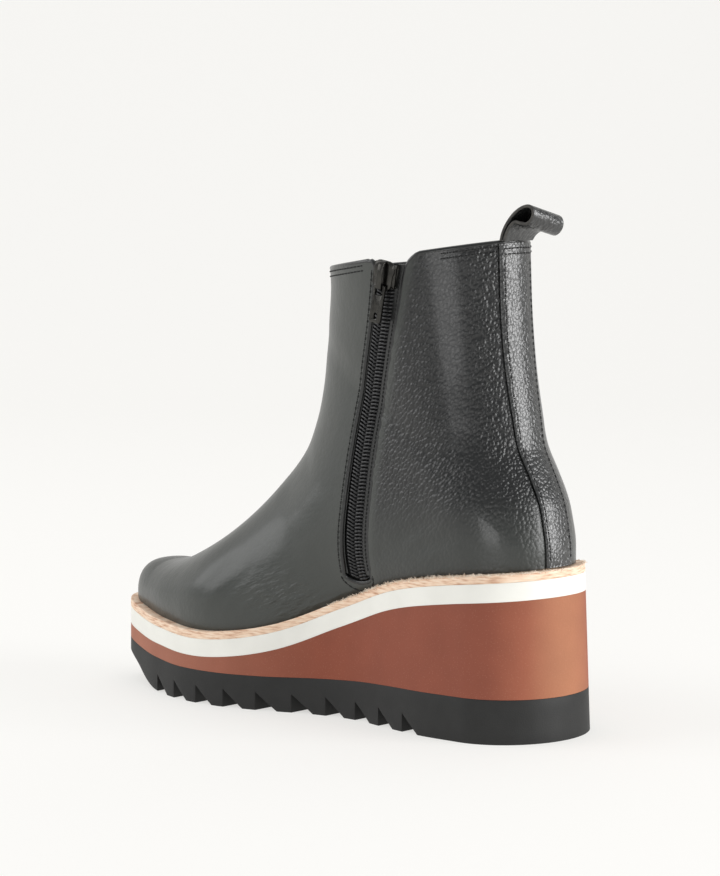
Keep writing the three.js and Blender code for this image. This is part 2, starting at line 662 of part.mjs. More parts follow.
// The slider's own frame: X across the zip towards the heel, Y up along the zip, Z out of the upper
function sliderFrame() {
  const up = zipTop() - sliderDrop;
  const along = zipAlong(up) + chainForward;
  const reach = sliderLength / 2;
  const yAxis = formPoint(zipAlong(up + reach) + chainForward, up + reach)
    .sub(formPoint(zipAlong(up - reach) + chainForward, up - reach)).normalize();
  const across = formPoint(along - reach, up).sub(formPoint(along + reach, up));
  const zAxis = across.clone().cross(yAxis).normalize();
  const xAxis = yAxis.clone().cross(zAxis);
  return { origin: formPoint(along, up), basis: new THREE.Matrix4().makeBasis(xAxis, yAxis, zAxis) };
}

function box(width, length, height, x, y, z) {
  return solidOf(new THREE.BoxGeometry(width, length, height).translate(x, y, z));
}

// Heights of the slider's layers above the upper's form
const plateBottom = chainProud + seamGap;
const plateTop = plateBottom + sliderPlate;
const hingeUp = plateTop + hingeGap + pullThick / 2;
const crownTop = hingeUp + pullThick / 2 + hingeGap + crownThick;
const hingeDown = sliderLength / 2 - crownThick - hingeGap - pullThick / 2;

// The slider: a plate over the chain, a flange down each side of it, and a crown that arches over the
// pull's bar
function sliderGeometry() {
  const width = chainWidth + 2 * (sliderFlange + hingeGap);
  const end = sliderLength / 2;
  const cut = sliderFlange;
  const half = width / 2;
  const outline = [[-half + cut, -end], [half - cut, -end], [half, -end + cut], [half, end - cut],
    [half - cut, end], [-half + cut, end], [-half, end - cut], [-half, -end + cut]];
  let solid = solidOf(plate(outline, plateBottom, plateTop));
  const flangeDepth = chainProud + wallThick - 2 * seamGap;
  for (const side of [-1, 1]) {
    solid = solid.add(box(sliderFlange, sliderLength - 2 * cut, flangeDepth + seamGap,
      side * (width - sliderFlange) / 2, 0, plateBottom - flangeDepth / 2 + seamGap / 2));
  }
  const arch = box(crownWidth, sliderLength, crownTop - plateBottom, 0, 0, (crownTop + plateBottom) / 2);
  const opening = box(2 * crownWidth, sliderLength - 2 * crownThick, crownTop - crownThick - plateTop,
    0, 0, (crownTop - crownThick + plateTop) / 2);
  return geometryOfSolid(solid.add(arch.subtract(opening)));
}

// The pull: a flat tab that hangs from its top bar, with a window around the crown and a slot near its end
function pullGeometry() {
  const bar = pullThick / 2;
  const half = pullWidth / 2;
  const round = pullWidth / 4;
  const tip = bar - pullLength;
  const outline = [[-half, bar], [-half, tip + round], [-half + round, tip], [half - round, tip],
    [half, tip + round], [half, bar]];
  const cut = (width, from, to) => box(width, to - from, 2 * pullThick, 0, (from + to) / 2, 0);
  const window = cut(crownWidth + pullThick, -bar - pullWindow, -bar);
  const hole = cut(pullHole, tip + round, tip + round + 2 * pullHole);
  return geometryOfSolid(solidOf(plate(outline.reverse(), -bar, bar)).subtract(window).subtract(hole));
}

// The strip up the back seam, from the welt to the collar
function stripGeometry() {
  const seat = weltTop(0) + layerGap;
  const heights = Array.from({ length: bandSteps + 1 }, (_, k) => (
    mix(seat + seamGap, aboveBoot, k / bandSteps)));
  const edge = (side) => heights.map((up) => [
    axisSide(0) + side * stripWidth * smooth(stripShape, 'half', up / bootHeight), up]);
  const band = lengthPrism([...edge(1), ...edge(-1).reverse()], -heelRest, heelRest + stripWidth / 2);
  return geometryOfSolid(layerOfForm(seamGap + stripThick, seamGap).intersect(band));
}

// The pull loop: a strap on the collar's back that goes up, curls back and down, and returns, turning
// as it goes
function loopGeometry() {
  const collarBack = form(0)[last.grid.length - 1][0];
  const steps = 2 * (loopPath.length - 1);
  const frames = Array.from({ length: steps + 1 }, (_, k) => {
    const value = (column) => smooth(loopPath, column, k / 2);
    const edge = new THREE.Vector3(collarBack.x - loopWidth / 2, collarBack.y - loopRise * value('back'),
      collarBack.z + loopRise * value('up'));
    return { edge, across: new THREE.Vector3(1, 0, 0).lerp(loopTurn, value('turn')).normalize() };
  });
  const points = frames.flatMap(({ edge, across }, k) => {
    const before = frames[Math.max(k - 1, 0)].edge;
    const after = frames[Math.min(k + 1, steps)].edge;
    const thick = after.clone().sub(before).cross(across).setLength(loopThick / 2);
    const far = edge.clone().addScaledVector(across, loopWidth);
    return [edge.clone().add(thick), far.clone().add(thick), far.clone().sub(thick), edge.clone().sub(thick)];
  });
  const faces = [[0, 1, 2, 3], [3, 2, 1, 0].map((corner) => steps * 4 + corner)];
  for (let k = 0; k < steps; k += 1) {
    for (let corner = 0; corner < 4; corner += 1) {
      const next = (corner + 1) % 4;
      faces.push([k * 4 + corner, (k + 1) * 4 + corner, (k + 1) * 4 + next, k * 4 + next]);
    }
  }
  return geometryOf(points.map((point) => point.toArray()), faces);
}

function piece(name, geometry, colour, roughness, metalness = 0) {
  const material = new THREE.MeshStandardMaterial({ color: colour, roughness, metalness });
  const mesh = new THREE.Mesh(geometry, material);
  mesh.name = name;
  return mesh;
}

const boot = new THREE.Group();
boot.add(
  piece('outsole', outsoleGeometry(), 0x2b2b2a, 0.8),
  piece('wedge', wedgeGeometry(), 0xa4593d, 0.7),
  piece('midsole', midsoleGeometry(), 0xf0efe9, 0.6),
  piece('welt', weltGeometry(), 0xcba884, 0.7),
  piece('insole', insoleGeometry(), 0xb79c78, 0.8),
  piece('upper', upperGeometry(), 0x2a2a29, 0.45),
  piece('back_strip', stripGeometry(), 0x2a2a29, 0.5),
  piece('pull_loop', loopGeometry(), 0x2a2a29, 0.5),
  piece('zip_tape', tapeGeometry(), 0x1c1c1c, 0.9),
  piece('zip_chain', chainGeometry(), 0x161616, 0.6),
);

const slider = new THREE.Group();
const frame = sliderFrame();
slider.position.copy(frame.origin);
slider.quaternion.setFromRotationMatrix(frame.basis);
const pull = piece('zip_pull', pullGeometry(), 0x55524c, 0.35, 1);
pull.position.set(0, -hingeDown, hingeUp);
pull.rotation.x = THREE.MathUtils.degToRad(pullTilt);
slider.add(piece('zip_slider', sliderGeometry(), 0x55524c, 0.35, 1), pull);
boot.add(slider);
boot.position.y = -heelRest;

export default boot;
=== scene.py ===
# Wedge ankle boot, right foot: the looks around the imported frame. Sizes are in mm in the part's own drawing
# frame (y = 0 at the back of the heel) and turned into metres when a mesh is made
import math

import bpy
import bmesh
import numpy as np
from mathutils import Matrix, Vector
from mathutils.bvhtree import BVHTree


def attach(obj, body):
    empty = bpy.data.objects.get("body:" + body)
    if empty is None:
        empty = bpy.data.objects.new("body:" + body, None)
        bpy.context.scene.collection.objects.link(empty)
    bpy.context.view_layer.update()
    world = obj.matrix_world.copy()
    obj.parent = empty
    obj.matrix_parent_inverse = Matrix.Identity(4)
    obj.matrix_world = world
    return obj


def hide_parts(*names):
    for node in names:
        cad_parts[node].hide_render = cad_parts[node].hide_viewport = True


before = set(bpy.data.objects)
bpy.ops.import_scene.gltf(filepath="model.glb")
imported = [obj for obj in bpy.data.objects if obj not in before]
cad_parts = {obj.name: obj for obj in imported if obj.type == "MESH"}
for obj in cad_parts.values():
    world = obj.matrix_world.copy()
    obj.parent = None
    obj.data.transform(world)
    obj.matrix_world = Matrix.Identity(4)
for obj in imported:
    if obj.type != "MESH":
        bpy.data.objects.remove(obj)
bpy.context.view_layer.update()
mm = 0.001
print("frame loaded")

# The part's own sizes
sole = {
    "length": 268, "width": 94, "heelRise": 71, "platform": 30.5, "toeSpring": 6, "heelRest": 34,
    "midsoleThick": 8.2, "outsoleHeel": 19.6, "outsoleFront": 15.6, "toeRocker": 15, "flare": 0.022,
    "weltThick": 3.4, "gap": 0.3, "heelRound": 0.12, "toeStart": 0.822, "toePower": 2.23, "insoleThick": 4.8,
}
tread = {"first": 66.5, "pitch": 17.16, "depth": 8.5, "notch": 10.6, "count": 10}
upper = {"height": 215, "wall": 2, "lastShelf": 5.2, "toeTopRound": 2.2}
zipSizes = {
    "slotWidth": 15.6, "slotBottom": 62, "cornerFront": 4, "cornerBack": 9, "tapeWidth": 27, "tapeThick": 0.8,
    "tapeBelow": 3, "forward": 0.8, "sliderDrop": 4.5, "sliderLength": 13,
}
strip = {"width": 19, "thick": 1.0, "gap": 0.3}
loop = {"width": 19, "rise": 16, "thick": 1.5, "turn": (0.96, -0.08, -0.27)}

# Plan of the sole (at, axis, inner, outer) and its side view (at, pitch, spring, rocker, heel), in shares
planRows = [
    (0, 0.013, 0.361, 0.388), (0.12, 0.013, 0.373, 0.388), (0.2, 0.013, 0.38, 0.388),
    (0.29, 0.01, 0.349, 0.38), (0.38, 0, 0.31, 0.4), (0.47, 0, 0.348, 0.435),
    (0.56, 0, 0.443, 0.47), (0.65, -0.01, 0.505, 0.495), (0.74, -0.03, 0.503, 0.48),
    (0.83, -0.059, 0.436, 0.372), (0.92, -0.088, 0.37, 0.25), (1, -0.098, 0.354, 0.177),
]
profileRows = [
    (0, 1, 0, 0, 0.95), (0.13, 0.926, 0, 0, 1), (0.28, 0.758, 0, 0, 0.85),
    (0.41, 0.469, 0, 0, 0.4), (0.54, 0.141, 0, 0, 0.08), (0.67, 0, 0, 0, 0),
    (0.8, 0, 0.08, 0, 0), (0.84, 0, 0.19, 0.07, 0), (0.88, 0, 0.33, 0.31, 0),
    (0.92, 0, 0.52, 0.65, 0), (0.96, 0, 0.75, 0.89, 0), (1, 0, 1, 1, 0),
]
# Sections of the upper: at, foot, back, ridge, crown, lean, bend, sag, inner, outer, rise, dome, top
upperRows = [
    (0, 0.905, 0, 0.896, 0.265, -0.096, 1, 0, 0.231, 0.284, 0.078, 0.071, 2.5),
    (1, 0.86, 0, 0.845, 0.276, -0.09, 1, 0, 0.296, 0.353, 0.086, 0.071, 2.4),
    (2, 0.8, 0, 0.789, 0.302, -0.08, 1.05, 0, 0.369, 0.421, 0.101, 0.093, 2.2),
    (3, 0.69, 0, 0.711, 0.355, -0.065, 1.1, 0, 0.448, 0.47, 0.127, 0.127, 2),
    (4, 0.575, 0, 0.647, 0.42, -0.05, 1.15, 0, 0.41, 0.431, 0.127, 0.157, 1.9),
    (5, 0.46, 0, 0.588, 0.494, -0.035, 1.2, 0, 0.362, 0.385, 0.134, 0.187, 1.9),
    (6, 0.35, 0, 0.541, 0.564, -0.025, 1.25, 0, 0.348, 0.36, 0.142, 0.201, 1.9),
    (7, 0.24, 0, 0.516, 0.639, -0.015, 1.3, 0, 0.343, 0.345, 0.142, 0.213, 1.9),
    (8, 0.13, 0, 0.504, 0.711, -0.005, 1.35, 0, 0.338, 0.336, 0.149, 0.224, 1.95),
    (9, 0, 0, 0.5, 0.771, 0.003, 1.35, 0, 0.333, 0.33, 0.149, 0.231, 2),
    (10, 0, 0.14, 0.496, 0.812, 0.007, 1.12, 0, 0.332, 0.33, 0.149, 0.228, 2),
    (11, 0, 0.32, 0.492, 0.852, 0.01, 1, 0, 0.34, 0.337, 0.157, 0.216, 2),
    (12, 0, 0.53, 0.488, 0.884, 0.013, 1, 0, 0.352, 0.349, 0.164, 0.205, 2),
    (13, 0, 0.77, 0.484, 0.911, 0.013, 1, 0.002, 0.368, 0.363, 0.172, 0.198, 2),
    (14, 0, 1, 0.482, 0.938, 0.013, 1, 0.005, 0.384, 0.377, 0.172, 0.194, 2),
]
heelRow = 9
# The back line (at, in, round), the zip's middle (at of the height, along), half of the strip (at, half)
backRows = [
    (0, 0, 1), (0.07, 0.001, 1.06), (0.12, 0.005, 1.1), (0.19, 0.013, 1.16), (0.27, 0.032, 1.24),
    (0.35, 0.053, 1.32), (0.46, 0.064, 1.42), (0.57, 0.073, 1.5), (0.73, 0.081, 1.58), (1, 0.086, 1.65),
]
zipRows = [
    (0.28, 0.367), (0.35, 0.361), (0.45, 0.35), (0.56, 0.337), (0.68, 0.317),
    (0.77, 0.298), (0.86, 0.278), (0.95, 0.262), (1.1, 0.237),
]
stripRows = [(0.34, 0.42), (0.5, 0.42), (0.75, 0.5), (1.1, 0.5)]
# The pull loop's inner edge: at, back, up, turn
loopRows = [
    (0, -0.11, 0.03, 0), (1, -0.04, 0.25, 0.25), (2, 0.1, 0.49, 0.55), (3, 0.34, 0.75, 0.85),
    (4, 0.61, 0.92, 1), (5, 0.86, 0.98, 1), (6, 1.01, 0.92, 1), (7, 1.05, 0.77, 1),
    (8, 0.98, 0.62, 1), (9, 0.82, 0.51, 1), (10, 0.62, 0.52, 0.95), (11, 0.4, 0.55, 0.8),
    (12, 0.23, 0.44, 0.55), (13, 0.1, 0.25, 0.25), (14, 0, 0.03, 0),
]


# A smooth curve through a table's column, without corners at its rows
def smooth(rows, column, at):
    at = min(max(at, rows[0][0]), rows[-1][0])
    i = 0
    while i < len(rows) - 2 and at > rows[i + 1][0]:
        i += 1

    def slope(k):
        return (rows[k + 1][column] - rows[k][column]) / (rows[k + 1][0] - rows[k][0])

    def tangent(k):
        if k in (0, len(rows) - 1):
            return slope(min(k, len(rows) - 2))
        before = rows[k][0] - rows[k - 1][0]
        after = rows[k + 1][0] - rows[k][0]
        return (slope(k) * before + slope(k - 1) * after) / (before + after)

    width = rows[i + 1][0] - rows[i][0]
    s = (at - rows[i][0]) / width
    return (rows[i][column] * (1 + 2 * s) * (1 - s) ** 2 + tangent(i) * width * s * (1 - s) ** 2
            + rows[i + 1][column] * s * s * (3 - 2 * s) + tangent(i + 1) * width * s * s * (s - 1))


def mix(a, b, share):
    return a + (b - a) * share


def endPlaces(count):
    return [(1 - math.cos(math.pi * k / count)) / 2 for k in range(count + 1)]


def softStep(low, high, value):
    share = np.clip((value - low) / (high - low), 0, 1)
    return share * share * (3 - 2 * share)


# The sole's plan and side view
def heelClosing(at):
    return math.sqrt(1 - (1 - at / sole["heelRound"]) ** 2) if at < sole["heelRound"] else 1


def toeClosing(at):
    if at <= sole["toeStart"]:
        return 1
    reach = (at - sole["toeStart"]) / (1 - sole["toeStart"])
    return max(0, 1 - reach ** sole["toePower"]) ** (1 / sole["toePower"])


def lift(at):
    return sole["toeSpring"] * smooth(profileRows, 2, at)


def midsoleTop(at):
    return mix(sole["platform"], sole["heelRise"], smooth(profileRows, 1, at)) + lift(at)


def midsoleBottom(at):
    return midsoleTop(at) - sole["midsoleThick"]


def outsoleTop(at):
    return mix(sole["outsoleFront"], sole["outsoleHeel"], smooth(profileRows, 4, at)) + lift(at)


def outsoleBottom(at):
    return sole["toeRocker"] * max(smooth(profileRows, 3, at), 0)


def weltTop(at):
    return midsoleTop(at) + sole["gap"] + sole["weltThick"]


def seatAt(at):
    return weltTop(at) + sole["gap"]


def seatInset(at):
    return upper["lastShelf"] + sole["flare"] * seatAt(at)


def insoleTop(at):
    return midsoleTop(at) + sole["gap"] + sole["insoleThick"]


def axisSide(at):
    return sole["width"] * smooth(planRows, 1, at)


def halfWidth(side, at, inset):
    reach = sole["width"] * (smooth(planRows, 2 if side < 0 else 3, at) - side * smooth(planRows, 1, at))
    return (reach - inset) * toeClosing(at)


def alongSole(at, inset):
    return mix(inset, sole["length"] - inset, at)


def edgePoint(side, at, height, shelf):
    inset = shelf + sole["flare"] * height
    return (axisSide(at) + side * halfWidth(side, at, inset) * heelClosing(at), alongSole(at, inset), height)


# Colours and nodes
def colour(code):
    parts = [int(code[k:k + 2], 16) / 255 for k in (1, 3, 5)]
    return tuple(c / 12.92 if c <= 0.04045 else ((c + 0.055) / 1.055) ** 2.4 for c in parts) + (1.0,)


# Adds a node, a shader node unless its kind says otherwise, and gives it back, or the output that is asked for
def addNode(tree, kind, inputs=None, output=None, stops=None, **settings):
    node = tree.nodes.new(kind if "Node" in kind else "ShaderNode" + kind)
    for key, value in settings.items():
        setattr(node, key, value)
    for key, value in (inputs or {}).items():
        if isinstance(value, bpy.types.NodeSocket):
            tree.links.new(value, node.inputs[key])
        else:
            node.inputs[key].default_value = value
    if stops:  # of a colour ramp
        while len(node.color_ramp.elements) < len(stops):
            node.color_ramp.elements.new(0.5)
        for element, (place, value) in zip(node.color_ramp.elements, stops):
            element.position = place
            element.color = value if isinstance(value, tuple) else (value, value, value, 1)
    return node if output is None else node.outputs[output]


def linkTo(tree, node, **sockets):
    for key, socket in sockets.items():
        tree.links.new(socket, node.inputs[key.replace("_", " ")])


def newMaterial(name, **values):
    material = bpy.data.materials.new(name)
    material.use_nodes = True
    tree = material.node_tree
    shader = tree.nodes["Principled BSDF"]
    for key, value in values.items():
        shader.inputs[key.replace("_", " ")].default_value = value
    return material, tree, shader, addNode(tree, "TexCoord", {}, "Object")


# Meshes
def addObject(name, data):
    made = bpy.data.objects.new(name, data)
    bpy.context.scene.collection.objects.link(made)
    return made


def makePiece(name, points, faces, materials, angle=40, faceSlots=None):
    mesh = bpy.data.meshes.new(name)
    moved = (np.asarray(points, dtype=float) - np.array([0, sole["heelRest"], 0])) * mm
    mesh.from_pydata(moved.tolist(), [], [tuple(face) for face in faces])
    for material in materials:
        mesh.materials.append(material)
    if faceSlots is not None:
        mesh.polygons.foreach_set("material_index", faceSlots)
    cleanMesh(mesh, angle)
    return addObject(name, mesh)


def cleanMesh(mesh, angle):
    work = bmesh.new()
    work.from_mesh(mesh)
    bmesh.ops.remove_doubles(work, verts=work.verts, dist=1e-6)
    bmesh.ops.recalc_face_normals(work, faces=work.faces)
    work.to_mesh(mesh)
    work.free()
    mesh.shade_smooth()
    mesh.set_sharp_from_angle(angle=math.radians(angle))


# Cuts pieces out of another, and may soften its edges after that, all baked into its mesh
def carve(piece, cutters, bevel=0, angle=40):
    for cutter in cutters:
        modifier = piece.modifiers.new("cut", "BOOLEAN")
        modifier.operation = "DIFFERENCE"
        modifier.solver = "EXACT"
        modifier.object = cutter
    if bevel:
        modifier = piece.modifiers.new("soften", "BEVEL")
        modifier.width = bevel * mm
        modifier.segments = 2
        modifier.limit_method = "ANGLE"
        modifier.angle_limit = math.radians(30)
    bake(piece)
    cleanMesh(piece.data, angle)
    for cutter in cutters:
        bpy.data.objects.remove(cutter)


def bake(piece):
    graph = bpy.context.evaluated_depsgraph_get()
    mesh = bpy.data.meshes.new_from_object(piece.evaluated_get(graph))
    piece.modifiers.clear()
    piece.data = mesh


def unit(vectors):
    vectors = np.asarray(vectors, dtype=float)
    return vectors / np.maximum(np.linalg.norm(vectors, axis=-1, keepdims=True), 1e-9)


# The faces between rings of points, closed by a flat end at each side
def ringFaces(rings, size, closed=False, capped=True):
    faces = []
    for k in range(rings if closed else rings - 1):
        after = (k + 1) % rings
        for n in range(size):
            m = (n + 1) % size
            faces.append((k * size + n, k * size + m, after * size + m, after * size + n))
    if capped and not closed:
        faces += [tuple(range(size)), tuple((rings - 1) * size + n for n in reversed(range(size)))]
    return faces


# A profile of (across, out) points swept along a path whose out directions are given
def sweep(path, outs, profile, closed=False, scales=None):
    path = np.asarray(path, dtype=float)
    count = len(path)
    if closed:
        along = unit(np.roll(path, -1, 0) - np.roll(path, 1, 0))
    else:
        along = unit(np.gradient(path, axis=0))
    across = unit(np.cross(along, np.asarray(outs, dtype=float)))
    out = np.cross(across, along)
    scale = np.ones(count) if scales is None else np.asarray(scales)
    points = []
    for k in range(count):
        for side, up in profile:
            points.append(path[k] + across[k] * side * scale[k] + out[k] * up * scale[k])
    return points, ringFaces(count, len(profile), closed)


def ringProfile(radius, sides=10):
    turns = [2 * math.pi * k / sides for k in range(sides)]
    return [(radius * math.cos(turn), radius * math.sin(turn)) for turn in turns]


# A rectangle with round corners, counterclockwise
def roundedOutline(half, low, high, radius, steps):
    x, top, bottom = half - radius, high - radius, low + radius
    points = []
    for quarter, (cx, cy) in enumerate([(x, top), (-x, top), (-x, bottom), (x, bottom)]):
        for k in range(steps + 1):
            turn = math.pi / 2 * (quarter + k / steps)
            points.append((cx + radius * math.cos(turn), cy + radius * math.sin(turn)))
    return points


def strapProfile(width, thick):
    return roundedOutline(width / 2, -thick / 2, thick / 2, thick * 0.45, 4)


def lengthsAlong(path):
    return np.concatenate([[0], np.cumsum(np.linalg.norm(np.diff(path, axis=0), axis=1))])


def pointAt(path, lengths, at):
    return np.array([np.interp(at, lengths, path[:, k]) for k in range(3)])


# The upper's form, dense
heelInset = seatInset(0)
fineShares = np.linspace(0, 1, 241)
fineIn = np.array([smooth(backRows, 1, share) for share in fineShares])
fineRound = np.array([smooth(backRows, 2, share) for share in fineShares])


def backClosing(along, up):
    share = np.clip((up - seatAt(0)) / (upper["height"] - seatAt(0)), 0, 1)
    length = sole["heelRound"] * (sole["length"] - 2 * heelInset) * np.interp(share, fineShares, fineRound)
    start = heelInset + sole["length"] * np.interp(share, fineShares, fineIn)
    distance = np.clip((along - start) / length, 0, 1)
    return np.sqrt(1 - (1 - distance) ** 2)


def sectionAt(place):
    foot = smooth([(row[0], row[1]) for row in upperRows[:heelRow + 1]], 1, place) if place < heelRow else 0
    back = smooth([(row[0], row[2]) for row in upperRows[heelRow:]], 1, place) if place > heelRow else 0
    seat, inset = seatAt(foot), seatInset(foot)
    value = [smooth(upperRows, column, place) for column in range(13)]
    along = alongSole(foot, inset)
    if place >= heelRow:
        along = heelInset + sole["length"] * smooth(backRows, 1, back)
    return {
        "base": np.array([axisSide(foot), along, mix(seat, upper["height"], back)]),
        "ridge": np.array([sole["width"] * value[5], sole["length"] * value[3], upper["height"] * value[4]]),
        "edges": [halfWidth(-1, foot, inset), halfWidth(1, foot, inset)],
        "reaches": [sole["width"] * value[8], sole["width"] * value[9]],
        "rise": sole["length"] * value[10], "dome": sole["length"] * value[11], "top": value[12],
        "bend": value[6], "sag": upper["height"] * value[7],
    }


def toeSectionAt(share):
    first = sectionAt(0)
    foot = mix(upperRows[0][1], 1, share)
    seat, inset = seatAt(foot), seatInset(foot)
    closing = (1 - share ** upper["toeTopRound"]) ** (1 / upper["toeTopRound"])
    base = np.array([axisSide(foot), alongSole(foot, inset), seat])
    reach = first["ridge"] - first["base"]
    edges = [halfWidth(-1, foot, inset), halfWidth(1, foot, inset)]
    return {
        **first, "base": base, "edges": edges,
        "ridge": np.array([mix(first["ridge"][0], axisSide(foot), share), base[1] + reach[1] * (1 - share),
                           seat + reach[2] * closing]),
        "reaches": [edges[k] + (first["reaches"][k] - first["edges"][k]) * closing for k in (0, 1)],
    }


def sidePoints(section, side, shares):
    base, ridge = section["base"], section["ridge"]
    along = mix(base[1], ridge[1], shares ** section["bend"])
    up = mix(base[2], ridge[2], shares)
    above = np.hypot(along - base[1], up - base[2])
    below = np.hypot(along - ridge[1], up - ridge[2])
    low = np.maximum(1 - above / section["rise"], 0) ** 2.2
    width = mix(section["reaches"][side], section["edges"][side], low)
    near = np.clip(below / section["dome"], 0, 1)
    closing = (1 - (1 - near) ** section["top"]) ** (1 / section["top"]) * backClosing(along, up)
    x = mix(base[0], ridge[0], shares) + (2 * side - 1) * width * closing
    return np.stack([x, along, up - 4 * section["sag"] * shares * (1 - shares)], axis=1)


dense = {"toe": 26, "perRow": 11, "heelRows": 22, "shaftRows": 18, "side": 58}


def formPlaces():
    places = [-math.cos(math.pi / 2 * k / dense["toe"]) for k in range(dense["toe"])]
    for row in range(len(upperRows) - 1):
        count = dense["shaftRows" if row > heelRow else "perRow"]
        if row in (heelRow - 1, heelRow):
            count = dense["heelRows"]
        for k in range(count):
            places.append(row + 1 - (1 - k / count) ** 2 if row == heelRow - 1 else row + k / count)
    return places + [len(upperRows) - 1]


places = formPlaces()
heelStart = places.index(heelRow)
shares = np.array(endPlaces(dense["side"]))
last = np.array([
    np.concatenate([sidePoints(section, 0, shares), sidePoints(section, 1, shares)[::-1][1:]])
    for section in (toeSectionAt(-place) if place < 0 else sectionAt(place) for place in places)
])
last[heelStart:, 0] = last[heelStart:, -1] = (last[heelStart:, 0] + last[heelStart:, -1]) / 2  # the back line
rowStep = np.gradient(last, axis=0)
rowStep[heelStart] = last[heelStart + 1] - last[heelStart]
columnStep = np.gradient(last, axis=1)
columnStep[heelStart:, 0] = columnStep[heelStart:, -1] = last[heelStart:, 1] - last[heelStart:, -2]
formOut = unit(np.cross(rowStep, columnStep))
for column, sign in ((0, 1), (-1, -1)):
    step = rowStep[:heelStart, column]
    formOut[:heelStart, column] = unit(np.stack([step[:, 1] * sign, -step[:, 0] * sign, 0 * step[:, 0]], axis=1))
formOut[0] = (0, 1, 0)

# Soft creases of the upper: side (-1 inner, 1 outer, 0 both), where each starts and ends in the
# side view (along, up), how far its middle bows up, its width and its depth
creases = [
    (-1, 176, 44, 152, 66, 2, 3.4, 0.3), (-1, 168, 42, 146, 62, 2, 2.8, 0.26),
    (-1, 186, 48, 164, 68, 2, 3.4, 0.22), (-1, 158, 42, 136, 60, 2, 3.0, 0.22),
    (-1, 148, 44, 128, 60, 2, 3.2, 0.2), (1, 176, 44, 152, 66, 2, 3.4, 0.35), (1, 164, 42, 142, 62, 2, 3.0, 0.3),
    (1, 188, 48, 166, 68, 2, 3.4, 0.25), (0, 150, 96, 128, 116, 0, 10, 0.7), (-1, 118, 64, 110, 96, 0, 9, 0.5),
    (-1, 70, 84, 48, 94, 1, 3.4, 0.5), (-1, 62, 80, 34, 88, 1, 3.0, 0.45), (-1, 84, 78, 60, 80, 1, 3.4, 0.4),
    (-1, 60, 100, 34, 118, 2, 9, 0.22), (1, 74, 84, 44, 96, 1, 4, 0.5), (1, 66, 100, 36, 118, 2, 7, 0.6),
]


def creaseDepth(points):
    depth = np.zeros(points.shape[:-1])
    along, up = points[..., 1], points[..., 2]
    for side, y0, z0, y1, z1, bow, width, deep in creases:
        length = math.hypot(y1 - y0, z1 - z0)
        dy, dz = (y1 - y0) / length, (z1 - z0) / length
        travel = ((along - y0) * dy + (up - z0) * dz) / length
        away = (along - y0) * -dz + (up - z0) * dy - bow * 4 * travel * (1 - travel) * np.sign(dy)
        ends = softStep(-0.15, 0.25, travel) * softStep(-0.15, 0.25, 1 - travel)
        keep = 1 if side == 0 else softStep(-4, 10, side * points[..., 0])
        ridge = 0.55 * np.exp(-((away - 1.6 * width) / width) ** 2)  # a lower ridge beside the trough
        depth += deep * ends * keep * (np.exp(-(away / width) ** 2) - ridge)
    return depth


# The rear quarter's folded edge rolls in over a few mm beside the zip, on the inner side
zipUps = np.array([row[0] * upper["height"] for row in zipRows])
zipLines = np.array([row[1] * sole["length"] for row in zipRows])
roll = {"depth": 0.7, "reach": 2.2, "low": 60, "full": 70}


def besideZip(points):
    return np.interp(points[..., 2], zipUps, zipLines) - zipSizes["slotWidth"] / 2 - points[..., 1]


def rollDepth(points):
    away = besideZip(points)
    near = np.where(away > -3, np.exp(-(np.maximum(away + 0.5, 0) / roll["reach"]) ** 2), 0)
    return roll["depth"] * near * (points[..., 0] < 0) * softStep(roll["low"], roll["full"], points[..., 2])


def edgeUp(along):
    return seatAt((along - heelInset) / (sole["length"] - 2 * heelInset))


def formGrid(offset, creased=False):
    moved = last + formOut * (upper["wall"] + offset)
    if creased:
        moved = moved - formOut * (creaseDepth(moved) + rollDepth(moved))[..., None]
    for column in (0, -1):
        for row in range(heelStart + 1):
            moved[row, column, 2] = edgeUp(moved[row, column, 1])
    return moved


outer = formGrid(0, creased=True)
inner = formGrid(-upper["wall"])
rows, columns = outer.shape[:2]
number = np.arange(rows * columns).reshape(rows, columns)
cells = np.stack([number[:-1, :-1], number[1:, :-1], number[1:, 1:], number[:-1, 1:]], axis=-1).reshape(-1, 4)
formTree = BVHTree.FromPolygons(outer.reshape(-1, 3).tolist(), cells.tolist())
plainOuter = formGrid(0)
plainTree = BVHTree.FromPolygons(plainOuter.reshape(-1, 3).tolist(), cells.tolist())
print("form ready", rows, columns)


# Point and outward direction of the upper's outer face on one side, at a place in the side view
def onSide(along, up, side=-1, tree=formTree):
    farOut, nearBy = 200, 30
    hit, out, _, _ = tree.ray_cast(Vector((side * farOut, along, up)), Vector((-side, 0, 0)))
    if hit is None:
        hit, out, _, _ = tree.find_nearest(Vector((side * nearBy, along, up)))
    out = np.array(out)
    return np.array(hit), out if out[0] * side > 0 else -out


def zipAlong(up):
    return sole["length"] * smooth(zipRows, 1, up / upper["height"])


rim = outer[-1, :dense["side"] + 1]


def collarAbove(along):
    return float(np.interp(along, rim[:, 1], rim[:, 2]))


zipTop = collarAbove(zipAlong(upper["height"])) - zipSizes["tapeBelow"]


